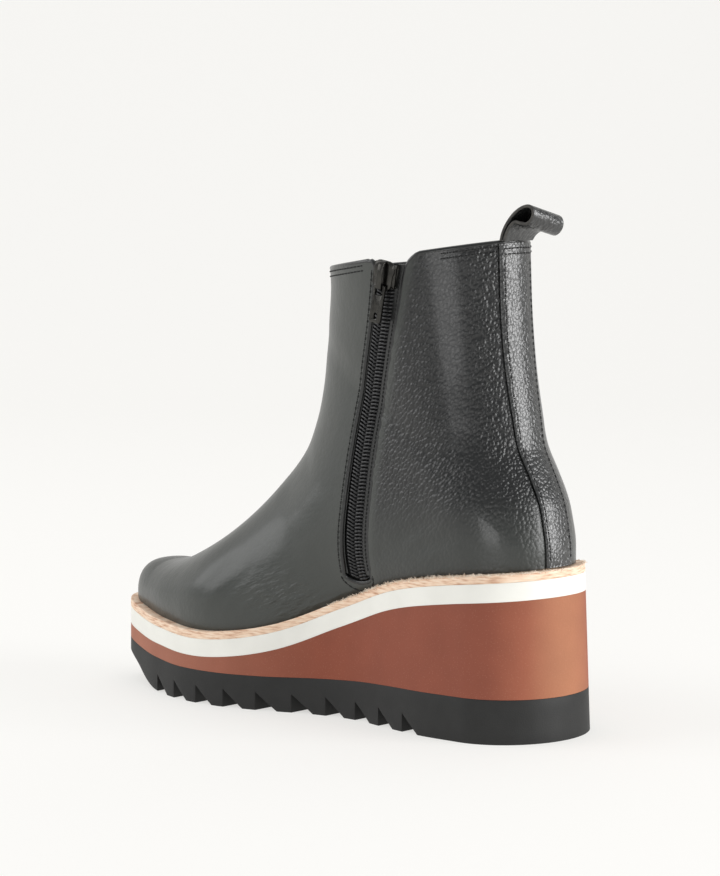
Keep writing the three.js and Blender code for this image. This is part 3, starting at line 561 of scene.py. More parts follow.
# The slot's edge in the side view, from the collar down the back edge, round the end and up the front edge
def slotEdge(steps=40):
    half = zipSizes["slotWidth"] / 2
    bottom = zipSizes["slotBottom"]
    quarter = zipSizes["slotWidth"] / 4

    def corner(sign, radius):
        top = collarAbove(zipAlong(upper["height"]) + sign * (half + radius))
        turned = []
        for k in range(9):
            turn = math.pi / 2 * k / 8
            up = top - radius + radius * math.sin(turn)
            turned.append((zipAlong(up) + sign * (half + radius * (1 - math.cos(turn))), up))
        return turned

    front = corner(1, zipSizes["cornerFront"])
    back = corner(-1, zipSizes["cornerBack"])
    start = bottom + quarter
    end = [(zipAlong(bottom) - half * math.cos(turn), start - quarter * math.sin(turn))
           for turn in (math.pi * k / 16 for k in range(17))]
    line = [mix(start, front[0][1], (k + 1) / (steps + 1)) for k in range(steps)]
    backLine = [(zipAlong(up) - half, up) for up in line if up < back[0][1] - 1]
    frontLine = [(zipAlong(up) + half, up) for up in line]
    return back[::-1] + backLine[::-1] + end + frontLine + front


# Materials
def leatherMaterial(name, plain, deep, grained, relief=1.0, **values):
    # Semi-gloss black calf: a soft broad sheen; the grained one is tumbled, with small pebbles and folds
    material, tree, shader, place = newMaterial(
        name, Roughness=0.33, Coat_Weight=0.3, Coat_Roughness=0.2, **values)

    def drawnOut(vector, turn, stretch):
        return addNode(tree, "Mapping", {"Vector": vector, "Rotation": (turn, 0, 0), "Scale": (1, stretch, 1)},
                       0, vector_type="TEXTURE")

    cloudy, soft, pores = (addNode(tree, "TexNoise", {"Vector": place, "Scale": scale, "Detail": detail}, "Fac")
                           for scale, detail in ((38.0, 3.0), (120.0, 2.0), (2600.0, 2.0)))
    tone = addNode(tree, "ValToRGB", {"Fac": cloudy}, 0, [(0.3, colour(deep)), (0.7, colour(plain))])
    warp = addNode(tree, "TexNoise", {"Vector": place, "Scale": 220.0, "Detail": 2.0}, "Color")
    shifted = addNode(tree, "VectorMath", {0: warp, "Scale": 0.0011}, 0, operation="SCALE")
    warped = addNode(tree, "VectorMath", {0: place, 1: shifted}, 0, operation="ADD")
    pebble = addNode(tree, "TexVoronoi", {"Vector": drawnOut(warped, 2.3, 1.5), "Scale": 660.0}, "Distance")
    cell = addNode(tree, "ValToRGB", {"Fac": pebble}, "Color", [(0.0, 1.0), (0.35, 0.85), (0.8, 0.0)])
    folds = addNode(tree, "TexNoise", {"Vector": drawnOut(place, 2.5, 2.6), "Scale": 520.0, "Detail": 1.5}, "Fac")
    height = addNode(tree, "Math", {0: folds, 1: 0.7, 2: cell}, 0, operation="MULTIPLY_ADD")
    wrinkles = []
    if grained:
        blend, flexed = (addNode(tree, "Attribute", {}, "Fac", attribute_name=share) for share in ("grain", "flex"))
        relief, rough = (addNode(tree, "MapRange", {"Value": blend, "To Min": low, "To Max": high}, 0)
                         for low, high in ((0.1, 1.0), (0.46, 0.33)))
        drawn = drawnOut(place, 2.75, 4.5)
        wrinkle = addNode(tree, "TexNoise", {"Vector": drawn, "Scale": 430.0, "Detail": 2.0}, "Fac")
        wrinkles = [(addNode(tree, "Math", {0: wrinkle, 1: flexed}, 0, operation="MULTIPLY"), 1.0, 0.0026)]
        # Painted sheen: where the smooth share is painted (the front panel, and in part the lower rear quarter), the
        # base turns from near-black to a lighter grey-green
        tone = addNode(tree, "Mix", {0: blend, 6: colour("#343733"), 7: tone}, 2, data_type="RGBA")
        linkTo(tree, shader, Roughness=rough)
    # bumps over one another, the finest first
    given = {}
    for rise, strength, distance in [(pores, 0.12, 0.0003), (height, relief, 0.00032), (soft, 0.22, 0.0016), *wrinkles]:
        inputs = {**given, "Height": rise, "Strength": strength, "Distance": distance}
        given = {"Normal": addNode(tree, "Bump", inputs, 0)}
    linkTo(tree, shader, Base_Color=tone, **given)
    return material


def plainMaterial(name, light, dark, roughness, scale, bump, **values):
    material, tree, shader, place = newMaterial(name, Roughness=roughness, **values)
    cloudy = addNode(tree, "TexNoise", {"Vector": place, "Scale": scale, "Detail": 4.0}, "Fac")
    fine = addNode(tree, "TexNoise", {"Vector": place, "Scale": scale * 9, "Detail": 3.0}, "Fac")
    linkTo(tree, shader,
           Base_Color=addNode(tree, "ValToRGB", {"Fac": cloudy}, 0, [(0.35, colour(dark)), (0.65, colour(light))]),
           Normal=addNode(tree, "Bump", {"Height": fine, "Strength": bump, "Distance": 0.0002}, 0))
    return material


def wedgeMaterial():
    # Pressed foam or cork in terracotta: matt, finely speckled. Its colour is paler towards its back edge and its
    # front: painted light where the lamps fall on those ends
    material, tree, shader, place = newMaterial("wedgeFoam", Roughness=0.75)
    y = addNode(tree, "SeparateXYZ", {0: place}, "Y")
    way = addNode(tree, "MapRange", {"Value": y, "From Min": -0.034, "From Max": 0.234}, 0)
    # painted light: paler stops at the back edge and towards the front, darker in the middle
    base = addNode(tree, "ValToRGB", {"Fac": way}, 0, [
        (0.0, colour("#a96f4f")), (0.025, colour("#95543c")), (0.07, colour("#8a4935")),
        (0.45, colour("#88452f")), (0.75, colour("#9b604b")), (1.0, colour("#a86d57"))])
    cloudy = addNode(tree, "TexNoise", {"Vector": place, "Scale": 70.0, "Detail": 5.0}, "Fac")
    shade = addNode(tree, "ValToRGB", {"Fac": cloudy}, 0, [(0.3, 0.95), (0.7, 1.05)])
    toned = addNode(tree, "Mix", {0: 1.0, 6: base, 7: shade}, 2, data_type="RGBA", blend_type="MULTIPLY")
    specks = addNode(tree, "TexVoronoi", {"Vector": place, "Scale": 950.0}, "Distance")
    dots = addNode(tree, "ValToRGB", {"Fac": specks}, 0, [(0.06, 0.16), (0.26, 0.0)])
    fine = addNode(tree, "TexNoise", {"Vector": place, "Scale": 900.0, "Detail": 3.0}, "Fac")
    linkTo(tree, shader,
           Base_Color=addNode(tree, "Mix", {0: dots, 6: toned, 7: colour("#c9977d")}, 2, data_type="RGBA"),
           Normal=addNode(tree, "Bump", {"Height": fine, "Strength": 0.4, "Distance": 0.0002}, 0))
    return material


def weltMaterial():
    # Undyed cut leather, rough, with a pinkish cut side in fine layers
    material, tree, shader, place = newMaterial("weltLeather", Roughness=0.8)
    layers = addNode(tree, "Mapping", {"Vector": place, "Scale": (1, 1, 9)}, 0)
    cloudy = addNode(tree, "TexNoise", {"Vector": layers, "Scale": 150.0, "Detail": 5.0}, "Fac")
    linkTo(tree, shader,
           Base_Color=addNode(tree, "ValToRGB", {"Fac": cloudy}, 0, [
               (0.3, colour("#c6977a")), (0.5, colour("#efd0b5")), (0.7, colour("#f8e4cf"))]),
           Normal=addNode(tree, "Bump", {"Height": cloudy, "Strength": 0.7, "Distance": 0.0005}, 0))
    return material


upperLeather = leatherMaterial("upperLeather", "#101111", "#0b0c0c", True)
# The strap's base is a little lighter than the upper's: a painted highlight for the back strip and the loop, which the
# heel light makes brighter
strapLeather = leatherMaterial("strapLeather", "#191a19", "#101111", False, 0.8, Specular_IOR_Level=0.85)
edgeLeather = leatherMaterial("edgeLeather", "#151615", "#0d0e0e", False, 0.12)
liningLeather = plainMaterial("liningLeather", "#b79c78", "#a58a67", 0.7, 90, 0.25)  # undyed calf, matt
cutEdge = plainMaterial("cutEdge", "#4a4844", "#33312f", 0.7, 400, 0.4)  # raw edge of dyed leather
thread = plainMaterial("thread", "#0c0c0d", "#060607", 0.6, 900, 0.5)  # waxed black polyester
paleFibre = plainMaterial("paleFibre", "#fbeedd", "#ecd3bb", 0.9, 500, 0.1)  # loose flesh-side fibres
# painted shade: a near-black colour for the shadowed pit of each needle hole
holeShade = plainMaterial("holeShade", "#070707", "#040404", 0.95, 900, 0.1)  # shadowed pit in the leather
outsoleRubber = plainMaterial("outsoleRubber", "#181817", "#131312", 0.62, 160, 0.3)  # matt black rubber
midsoleFoam = plainMaterial("midsoleFoam", "#f0efe8", "#ebeae3", 0.55, 60, 0.2)  # off-white moulded rubber
tapeCloth = plainMaterial("tapeCloth", "#1b1b1c", "#121213", 0.85, 1200, 0.6)  # woven black polyester
zipMetal = plainMaterial("zipMetal", "#4a4946", "#3a3937", 0.25, 300, 0.1, Metallic=1.0)  # gunmetal plate
coilPlastic = plainMaterial("coilPlastic", "#1e1e20", "#151516", 0.3, 500, 0.1)  # glossy black nylon
wedgeFoam = wedgeMaterial()
weltLeather = weltMaterial()
print("materials ready")


def settle(piece, body, slotName, *nodes):
    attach(piece, body)
    if nodes:
        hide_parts(*nodes)


# The sole's layers: rings of a rounded side, from the bottom to the top, and flat faces that close them
def soleLayer(name, bottom, top, shelf, rounding, material, stations=150, wave=0.0):
    ats = endPlaces(stations)
    quarter = [math.pi / 2 * k / 3 for k in range(4)]
    rings = [(0, turn) for turn in quarter] + [(share, math.pi / 2) for share in (0.25, 0.5, 0.75)]
    rings += [(1, turn) for turn in reversed(quarter)]
    points = []
    for share, turn in rings:
        drop, inset = rounding * (1 - math.cos(turn)), shelf + rounding * (1 - math.sin(turn))
        heights = [mix(bottom(at) + drop, top(at) - drop, share) for at in ats]
        near, far = ([edgePoint(side, at, up, inset) for at, up in zip(ats, heights)] for side in (-1, 1))
        points += near + far[::-1][1:-1]
    points = np.array(points)
    if wave:  # a cut edge is never quite even
        points += np.random.default_rng(5).normal(0, wave, points.shape) * [1, 1, 0.5]
    around = 2 * stations
    faces = ringFaces(len(rings), around, capped=False)
    for start, way in ((0, -1), ((len(rings) - 1) * around, 1)):
        for k in range(stations):
            face = [start + k, start + k + 1, start + (around - k - 1) % around, start + (around - k) % around]
            faces.append(tuple(dict.fromkeys(face))[::way])
    return makePiece(name, points, faces, [material], 50)


# A flat outline in the side view, made thick from one x to another
def prism(name, outline, low, high):
    points = [(x, along, up) for x in (low, high) for along, up in outline]
    return makePiece(name, points, ringFaces(2, len(outline)), [])


outsole = soleLayer("outsoleBody", outsoleBottom, outsoleTop, 0, 0.25, outsoleRubber)
notches = []
notchLow = -2  # the cutters start under the floor
for lug in range(tread["count"]):
    along = tread["first"] + lug * tread["pitch"]
    front = along - tread["notch"] + tread["notch"] * notchLow / tread["depth"]
    notches.append(prism("notch", [(front, notchLow), (along, notchLow), (along, tread["depth"])],
                         -sole["width"], sole["width"]))
carve(outsole, notches, 0.3)
settle(outsole, "boot", "outsole_rubber", "outsole")
wedge = soleLayer("wedgeBody", outsoleTop, midsoleBottom, 0, 0.1, wedgeFoam)
settle(wedge, "boot", "wedge_foam", "wedge")
midsole = soleLayer("midsoleBody", midsoleBottom, midsoleTop, 0, 0.15, midsoleFoam)
settle(midsole, "boot", "midsole_foam", "midsole")
welt = soleLayer("weltBody", midsoleTop, weltTop, 0, 0.35, weltLeather, 400, 0.04)
carve(welt, [soleLayer("weltCore", lambda at: midsoleTop(at) - 3, lambda at: weltTop(at) + 3,
                       upper["lastShelf"], 0.1, weltLeather)])
settle(welt, "boot", "welt_leather", "welt")
insole = soleLayer("insoleBody", lambda at: midsoleTop(at) + sole["gap"], insoleTop,
                   upper["lastShelf"] + 0.6, 0.8, liningLeather)
settle(insole, "boot", "lining_leather", "insole")
print("sole ready")

# The upper: its two faces, joined along the sole's edge and around the collar, and cut by the slot
offset = rows * columns
shellPoints = np.concatenate([inner.reshape(-1, 3), outer.reshape(-1, 3)])
shellFaces = [tuple(cell) for cell in np.concatenate([cells, cells + offset]).tolist()]
joined = [(number[row, column], number[row + 1, column]) for row in range(heelStart) for column in (0, columns - 1)]
joined += [(number[-1, column], number[-1, column + 1]) for column in range(columns - 1)]
shellFaces += [(a, b, b + offset, a + offset) for a, b in joined]
faceSlots = [1] * len(cells) + [0] * (len(cells) + len(joined))
shell = makePiece("upperShell", shellPoints, shellFaces, [upperLeather, liningLeather], 50, faceSlots)
edge = slotEdge()
aboveCollar = 240
slotOutline = [*edge, (edge[-1][0], aboveCollar), (edge[0][0], aboveCollar)]
carve(shell, [prism("slotCutter", slotOutline, -sole["width"], -2)], angle=50)

co = np.empty(len(shell.data.vertices) * 3)
shell.data.vertices.foreach_get("co", co)
co = co.reshape(-1, 3) / mm + [0, sole["heelRest"], 0]
# The grain share is 1 on the grained rear quarter, 0 on the smooth front panel, and lower near the welt. It sets the
# bump and the roughness. Where it is low it also gives a lighter grey-green base colour, a painted sheen
paints = {
    "grain": softStep(0.5, 6, besideZip(co)) * (0.3 + 0.7 * softStep(80, 112, co[:, 2])),
    "flex": np.exp(-((co[:, 1] - 138) / 19) ** 2 - ((co[:, 2] - 54) / 10) ** 2),
}
for name, values in paints.items():
    shell.data.attributes.new(name, "FLOAT", "POINT").data.foreach_set("value", values)
settle(shell, "boot", "upper_leather", "upper")

# The folded edge that runs around the collar and down and up the slot
found = [onSide(along, up) for along, up in edge]
middleRim = (outer[-1] + inner[-1]) / 2
frontStart = next(k for k in range(columns) if middleRim[k, 1] > edge[-1][0] + 0.6)
backEnd = max(k for k in range(dense["side"]) if middleRim[k, 1] < edge[0][0] - 0.6)
order = list(range(frontStart, columns - 1)) + list(range(0, backEnd + 1))
foldPath = [hit - out * upper["wall"] / 2 for hit, out in found] + [middleRim[k] for k in order]
foldOut = [out for _, out in found] + [formOut[-1, k] for k in order]
points, faces = sweep(foldPath, foldOut, ringProfile(upper["wall"] / 2 + 0.12, 12), closed=True)
settle(makePiece("foldedEdge", points, faces, [edgeLeather], 80), "boot", "upper_leather")
print("upper ready")

# The strip up the back and the pull loop
backRim = sorted((x, z) for x, y, z in np.concatenate([outer[-1, :20], outer[-1, -20:]]).tolist())
stripSeat = weltTop(0) + 2 * sole["gap"]
stripHigh = upper["height"] - stripSeat


# Points across the back seam, a share of the way up from the welt to the collar
def stripRow(climb, shares):
    half = strip["width"] * smooth(stripRows, 1, mix(0.35, 1, climb))
    found = []
    for share in shares:
        x = axisSide(0) + half * share
        up = mix(stripSeat, np.interp(x, *zip(*backRim)) - 0.5, climb)
        hit, out, _, _ = plainTree.ray_cast(Vector((x, -100, up)), Vector((0, 1, 0)))
        out = np.array(out)
        found.append((np.array(hit), out if out[1] < 0 else -out))
    return found


def stripPiece():
    across = np.linspace(-1, 1, 25)
    climbs = np.linspace(0, 1, 120)
    rises = strip["gap"] + strip["thick"] * (1 - np.maximum(abs(across) - 0.9, 0) ** 2 * 45)
    points = []
    for climb in climbs:
        found = stripRow(climb, across)
        points += [hit + out * strip["gap"] for hit, out in reversed(found)]
        points += [hit + out * rise for (hit, out), rise in zip(found, rises)]
    return makePiece("backStrip", points, ringFaces(len(climbs), 2 * len(across)), [strapLeather], 50)


def loopPiece():
    collarBack = plainOuter[-1, 0]
    steps = 90
    profile = strapProfile(loop["width"], loop["thick"])
    edges, turns, points = [], [], []
    for k in range(steps + 1):
        back, up, turn = (smooth(loopRows, column, loopRows[-1][0] * k / steps) for column in (1, 2, 3))
        edges.append(collarBack + [-loop["width"] / 2, -loop["rise"] * back, loop["rise"] * up])
        turns.append(unit(mix(np.array([1.0, 0, 0]), np.array(loop["turn"]), turn)))
    for edge, way, turn in zip(edges, unit(np.gradient(np.array(edges), axis=0)), turns):
        thick = unit(np.cross(way, turn))
        centre = edge + turn * loop["width"] / 2
        points += [centre + turn * side + thick * out for side, out in profile]
    sides = [(a[0] + b[0]) / 2 for a, b in zip(profile, profile[1:] + profile[:1])]
    cut = [1 if abs(side) > loop["width"] / 2 - 0.45 else 0 for side in sides]
    faces = ringFaces(steps + 1, len(profile))
    return makePiece("pullLoop", points, faces, [strapLeather, cutEdge], 50, cut * steps + [0, 0])


settle(stripPiece(), "boot", "grained_leather", "back_strip")
settle(loopPiece(), "boot", "grained_leather", "pull_loop")
print("strip and loop ready")


# Geometry nodes: a small shape repeated on points that carry their own turn
def repeatTree():
    tree = bpy.data.node_groups.new("repeatOnPoints", "GeometryNodeTree")
    kinds = {"Geometry": "Geometry", "Shape": "Object", "Size": "Float", "Size spread": "Float", "Seed": "Int",
             "Material": "Material"}
    for name, kind in kinds.items():
        tree.interface.new_socket(name, in_out="INPUT", socket_type="NodeSocket" + kind)
    tree.interface.new_socket("Geometry", in_out="OUTPUT", socket_type="NodeSocketGeometry")
    given = addNode(tree, "NodeGroupInput").outputs
    shape = addNode(tree, "GeometryNodeObjectInfo", {"Object": given["Shape"]}, "Geometry")
    turn = addNode(tree, "GeometryNodeInputNamedAttribute", {"Name": "turn"}, "Attribute", data_type="FLOAT_VECTOR")
    rotation = addNode(tree, "FunctionNodeEulerToRotation", {0: turn}, 0)
    low, high = (addNode(tree, "Math", {0: given["Size"], 1: given["Size spread"]}, 0, operation=operation)
                 for operation in ("SUBTRACT", "ADD"))
    size = addNode(tree, "FunctionNodeRandomValue", {2: low, 3: high, "Seed": given["Seed"]}, 1, data_type="FLOAT")
    placed = addNode(tree, "GeometryNodeInstanceOnPoints", {
        "Points": given["Geometry"], "Instance": shape, "Rotation": rotation, "Scale": size}, 0)
    real = addNode(tree, "GeometryNodeRealizeInstances", {0: placed}, 0)
    painted = addNode(tree, "GeometryNodeSetMaterial", {"Geometry": real, "Material": given["Material"]}, 0)
    addNode(tree, "NodeGroupOutput", {0: painted})
    return tree


repeatNodes = repeatTree()


# spots are (point, along, out): the shape's X runs along and its Z points out
def repeated(name, spots, shape, material, size=1.0, spread=0.0, seed=1):
    mesh = bpy.data.meshes.new(name)
    mesh.from_pydata([((np.array(p) - [0, sole["heelRest"], 0]) * mm).tolist() for p, _, _ in spots], [], [])
    turns = []
    for _, along, out in spots:
        x = unit(along)
        z = unit(out - x * np.dot(out, x))
        turns += list(Matrix(np.stack([x, np.cross(z, x), z], axis=1).tolist()).to_euler())
    mesh.attributes.new("turn", "FLOAT_VECTOR", "POINT").data.foreach_set("vector", turns)
    piece = addObject(name, mesh)
    modifier = piece.modifiers.new("repeat", "NODES")
    modifier.node_group = repeatNodes
    values = {"Shape": shape, "Size": size, "Size spread": spread, "Seed": seed, "Material": material}
    for item in repeatNodes.interface.items_tree:
        if item.in_out == "INPUT" and item.name in values:
            modifier[item.identifier] = values[item.name]
    bake(piece)
    piece.data.shade_smooth()
    return piece


# A shape in its own small frame, in mm, as an object for the repeating
def smallShape(name, path, profile, scales, out=(0, 0, 1)):
    points, faces = sweep(path, [out] * len(path), profile, scales=scales)
    mesh = bpy.data.meshes.new(name)
    mesh.from_pydata((np.array(points) * mm).tolist(), [], faces)
    return addObject(name, mesh)


stitch = {"pitch": 2.7, "half": 1.0, "thick": 0.62, "proud": 0.1, "sink": 0.32}
stitchShape = smallShape(
    "stitchShape", [(stitch["half"] * x, 0, stitch["proud"] - stitch["sink"] * x * x)
                    for x in (-1, -0.8, -0.4, 0, 0.4, 0.8, 1)],
    ringProfile(stitch["thick"] / 2, 6), [0.25, 0.75, 1, 1.05, 1, 0.75, 0.25])
holeShape = smallShape("holeShape", [(0, 0, -0.2), (0, 0, 0.02), (0, 0, 0.08)], ringProfile(0.36, 8), [1, 1, 0.8],
                       (1, 0, 0))


# Spots along a path, one pitch apart, each with the way of the path there
def rowSpots(path, outs, pitch=stitch["pitch"], first=None, look=0.6):
    path, outs = np.asarray(path, dtype=float), np.asarray(outs, dtype=float)
    lengths = lengthsAlong(path)
    spots = []
    for at in np.arange(pitch / 2 if first is None else first, lengths[-1], pitch):
        ahead, before = min(at + look, lengths[-1]), max(at - look, 0)
        spots.append((pointAt(path, lengths, at), pointAt(path, lengths, ahead) - pointAt(path, lengths, before),
                      pointAt(outs, lengths, at)))
    return spots


# A path above the places found, or in them where the rise is negative, and the directions out
def raised(found, rise):
    return [hit + out * rise for hit, out in found], [out for _, out in found]


def sideRow(line, rise=0, tree=formTree):
    return raised([onSide(along, up, tree=tree) for along, up in line], rise)


def collarRow(drop, fromColumn, toColumn):
    path, outs = [], []
    for column in range(fromColumn, toColumn + 1):
        column = column % (columns - 1)
        strand = outer[:, column][::-1]
        lengths = lengthsAlong(strand)
        k = int(np.searchsorted(lengths, drop))
        path.append(mix(strand[k - 1], strand[k], (drop - lengths[k - 1]) / (lengths[k] - lengths[k - 1])))
        outs.append(formOut[-k, column])
    return path, outs


slotStitch = {"gap": 1.3, "low": 66, "turnMiddle": 58, "turnDrop": 7.5, "collarDrops": (1.5, 3.7)}
slotReach = zipSizes["slotWidth"] / 2 + slotStitch["gap"]
frontTop = collarAbove(zipAlong(205) + 12)
frontLine = [(zipAlong(up) + slotReach, up) for up in np.linspace(slotStitch["low"], frontTop - 3, 70)]
stitchSpots = rowSpots(*sideRow(frontLine))
rowStart = next(k for k in range(columns) if middleRim[k, 1] > edge[-1][0] + 2)
rowStop = columns - 1 + max(k for k in range(dense["side"]) if middleRim[k, 1] < edge[0][0] - 2)
for drop in slotStitch["collarDrops"]:
    stitchSpots += rowSpots(*collarRow(drop, rowStart, rowStop))
# round the slot's end
stitchSpots += rowSpots(*sideRow([
    (zipAlong(slotStitch["turnMiddle"]) + slotReach * math.cos(turn),
     slotStitch["low"] - slotStitch["turnDrop"] * math.sin(turn)) for turn in np.linspace(0.1, math.pi - 0.1, 16)]))
# inside both edges of the back strip, and twice across its top
onStrip = strip["gap"] + strip["thick"] - 0.05
for side in (-1, 1):
    found = [stripRow(climb, [side * 0.8])[0] for climb in np.linspace(0.02, 0.94, 60)]
    stitchSpots += rowSpots(*raised(found, onStrip))
for drop in (2.2, 4.6):
    found = stripRow(1 - drop / stripHigh, np.linspace(-0.85, 0.85, 12))
    stitchSpots += rowSpots(*raised(found, onStrip), 2.2)
settle(repeated("stitchRows", stitchSpots, stitchShape, thread, spread=0.06), "boot", "tape_cloth")
# Painted shade for the needle's holes: small near-black discs, one between every two stitches
holeSpots = [(point + unit(along) * stitch["pitch"] / 2, along, out) for point, along, out in stitchSpots]
settle(repeated("needleHoles", holeSpots, holeShape, holeShade), "boot", "tape_cloth")
print("stitches ready", len(stitchSpots))


# The zip: tape behind the slot, and two rows of coils that meet in its middle
def bandPiece(name, start, stop, low, high, deep, thick, material):
    across = np.linspace(start, stop, max(int(stop - start), 4))
    ups = np.linspace(low, high, 90)
    points = []
    for up in ups:
        found = [onSide(zipAlong(up) + a, up, tree=plainTree) for a in across]
        points += raised(found, -deep)[0] + raised(found, -deep - thick)[0][::-1]
    return makePiece(name, points, ringFaces(len(ups), 2 * len(across)), [material], 50)


half = zipSizes["tapeWidth"] / 2
tapeLow = 59.5
tape = bandPiece("zipTape", -half, half, tapeLow, zipTop, upper["wall"] + 0.3, zipSizes["tapeThick"], tapeCloth)
facing = {"back": (-8.4, -4.3), "front": (6.0, 8.4), "deep": 0.9, "thick": 0.9, "low": 66, "row": -6.0}
for name in ("back", "front"):
    band = bandPiece(name + "Facing", *facing[name], facing["low"], zipTop, facing["deep"], facing["thick"],
                     edgeLeather)
    settle(band, "boot", "upper_leather")
facingLine = [(zipAlong(up) + facing["row"], up) for up in np.linspace(facing["low"] + 2, zipTop - 2, 80)]
facingSpots = rowSpots(*sideRow(facingLine, 0.05 - facing["deep"], plainTree), 1.9)
settle(repeated("facingStitches", facingSpots, stitchShape, thread, size=0.85, spread=0.05, seed=3),
       "boot", "tape_cloth")
settle(tape, "boot", "tape_cloth", "zip_tape")

coil = {"pitch": 1.66, "thick": 1.3, "depth": 0.7, "low": 64.5}
toothRows = [(0.2, -0.55, -0.7), (0.55, -0.45, -0.05), (1.1, -0.3, 0.14), (2.3, 0.0, -0.02),
             (3.4, 0.25, 0.1), (4.3, 0.4, -0.3), (4.7, 0.45, -1.3)]
toothShapes = [
    smallShape("toothShape", [(x, y * sign, z) for x, y, z in toothRows], ringProfile(coil["thick"] / 2, 7),
               [0.6, 1.0, 1.05, 0.72, 1.0, 0.85, 0.7]) for sign in (1, -1)]
coilLine = [(zipAlong(up) + zipSizes["forward"] * softStep(60, 190, up), up)
            for up in np.linspace(coil["low"], zipTop - 0.6, 160)]
coilSpots = [[], []]
for k, (point, along, out) in enumerate(
        rowSpots(*sideRow(coilLine, -coil["depth"], plainTree), coil["pitch"] / 2, 0, 2)):
    coilSpots[k % 2].append((point, np.cross(unit(along), out) * (-1 if k % 2 else 1), out))
for name, spots, shape in zip(("Back", "Front"), coilSpots, toothShapes):
    settle(repeated("zipCoils" + name, spots, shape, coilPlastic), "boot", "zip_coil", "zip_chain")
print("zip ready", len(coilSpots[0]))


# The slider in its own frame: X across the zip towards the heel, Y up along the zip, Z out of the upper
def atSlider(along, up):
    return onSide(sliderAlong + along, sliderUp + up, tree=plainTree)[0]


sliderUp = zipTop - zipSizes["sliderDrop"]
sliderAlong = zipAlong(sliderUp) + zipSizes["forward"]
reach = zipSizes["sliderLength"] / 2
above, below = (atSlider(zipAlong(sliderUp + up) - zipAlong(sliderUp), up) for up in (reach, -reach))
yAxis = unit(above - below)
zAxis = unit(np.cross(atSlider(-reach, 0) - atSlider(reach, 0), yAxis))
xAxis = np.cross(yAxis, zAxis)
sliderOrigin = atSlider(0, 0)


def fromSlider(points, tilt=0.0, at=(0, 0, 0)):
    c, s = math.cos(tilt), math.sin(tilt)
    points = np.asarray(points, dtype=float) @ np.array([[1, 0, 0], [0, c, s], [0, -s, c]]) + np.array(at)
    return sliderOrigin + points @ np.stack([xAxis, yAxis, zAxis])


def shieldOutline(top, waist, low, length, count=40):
    outline = []
    for k in range(count):
        turn = 2 * math.pi * k / count
        x, y = math.cos(turn), math.sin(turn)
        half = (top if y > 0 else low) * abs(x) ** 0.45 * (1 if x >= 0 else -1)
        squeeze = mix(waist, 1, min(1, abs(y + 0.15) * 1.4))
        outline.append((half * squeeze, length / 2 * abs(y) ** 0.75 * (1 if y >= 0 else -1)))
    return outline


slider = {"top": 5.5, "low": 4.9, "waist": 0.94, "length": 13, "flangeSide": 5.1, "flangeEnd": 5.2}
shield = shieldOutline(slider["top"], slider["waist"], slider["low"], slider["length"])
levels = [(0.93, 0.55), (0.99, 0.75), (1.0, 1.1), (1.0, 1.5), (0.975, 1.8), (0.92, 2.03), (0.8, 2.17), (0.5, 2.25)]
plate = [(x * share, y * share, up) for share, up in levels for x, y in shield]
parts = [(plate, ringFaces(len(levels), len(shield)))]
for side in (-1, 1):  # flanges down the chain's sides
    reach = slider["flangeEnd"]
    path = [(side * slider["flangeSide"], y, 0.0) for y in np.linspace(-reach, reach, 12)]
    parts.append(sweep(path, [(0, 0, 1)] * 12, strapProfile(0.9, 2.6), scales=[0.7] + [1] * 10 + [0.7]))
# The crown: place up the slider, height, and direction out
crownRows = [
    (-6.0, 1.9, -1, 0), (-6.0, 3.2, -1, 0.1), (-5.6, 4.2, -0.7, 0.7), (-4.6, 4.62, -0.1, 1), (-2, 4.66, 0, 1),
    (1.5, 4.62, 0, 1), (4.2, 4.4, 0.2, 1), (5.5, 3.7, 0.7, 0.7), (6.0, 2.7, 1, 0.2), (6.05, 1.8, 1, 0),
]
parts.append(sweep([(0, y, z) for y, z, _, _ in crownRows], [(0, y, z) for _, _, y, z in crownRows],
                   strapProfile(2.7, 0.75)))
points, faces = [], []
for somePoints, someFaces in parts:
    faces += [tuple(n + len(points) for n in face) for face in someFaces]
    points += [tuple(p) for p in somePoints]
settle(makePiece("zipSlider", fromSlider(points), faces, [zipMetal], 35), "boot", "zip_metal", "zip_slider")

# The pull: a flat tab with a window around the crown and a small hole near its end
pull = {"width": 6, "length": 17, "thick": 1.2, "tilt": math.radians(-3), "down": 4.7, "out": 3.2}


# A plate or cutter in the pull's frame, a rectangle with round corners
def pullPlate(name, half, low, high, radius, deep):
    outline = roundedOutline(half, low, high, radius, 6)
    points = [(x, y, z) for z in (-deep, deep) for x, y in outline]
    *sides, under, over = ringFaces(2, len(outline))
    return makePiece(name, fromSlider(points, pull["tilt"], (0, -pull["down"], pull["out"])),
                     [under[::-1], over[::-1], *sides], [zipMetal])


tip = pull["thick"] / 2 - pull["length"]
tab = pullPlate("zipPull", pull["width"] / 2, tip, pull["thick"] / 2, 1.1, pull["thick"] / 2)
window = pullPlate("pullWindow", 1.9, -4.2, -0.6, 0.7, 2)
hole = pullPlate("pullHole", 0.8, tip + 1.6, tip + 4.6, 0.79, 2)
carve(tab, [window, hole], 0.28, 35)
settle(tab, "pull", "zip_metal", "zip_pull")
print("slider and pull ready")

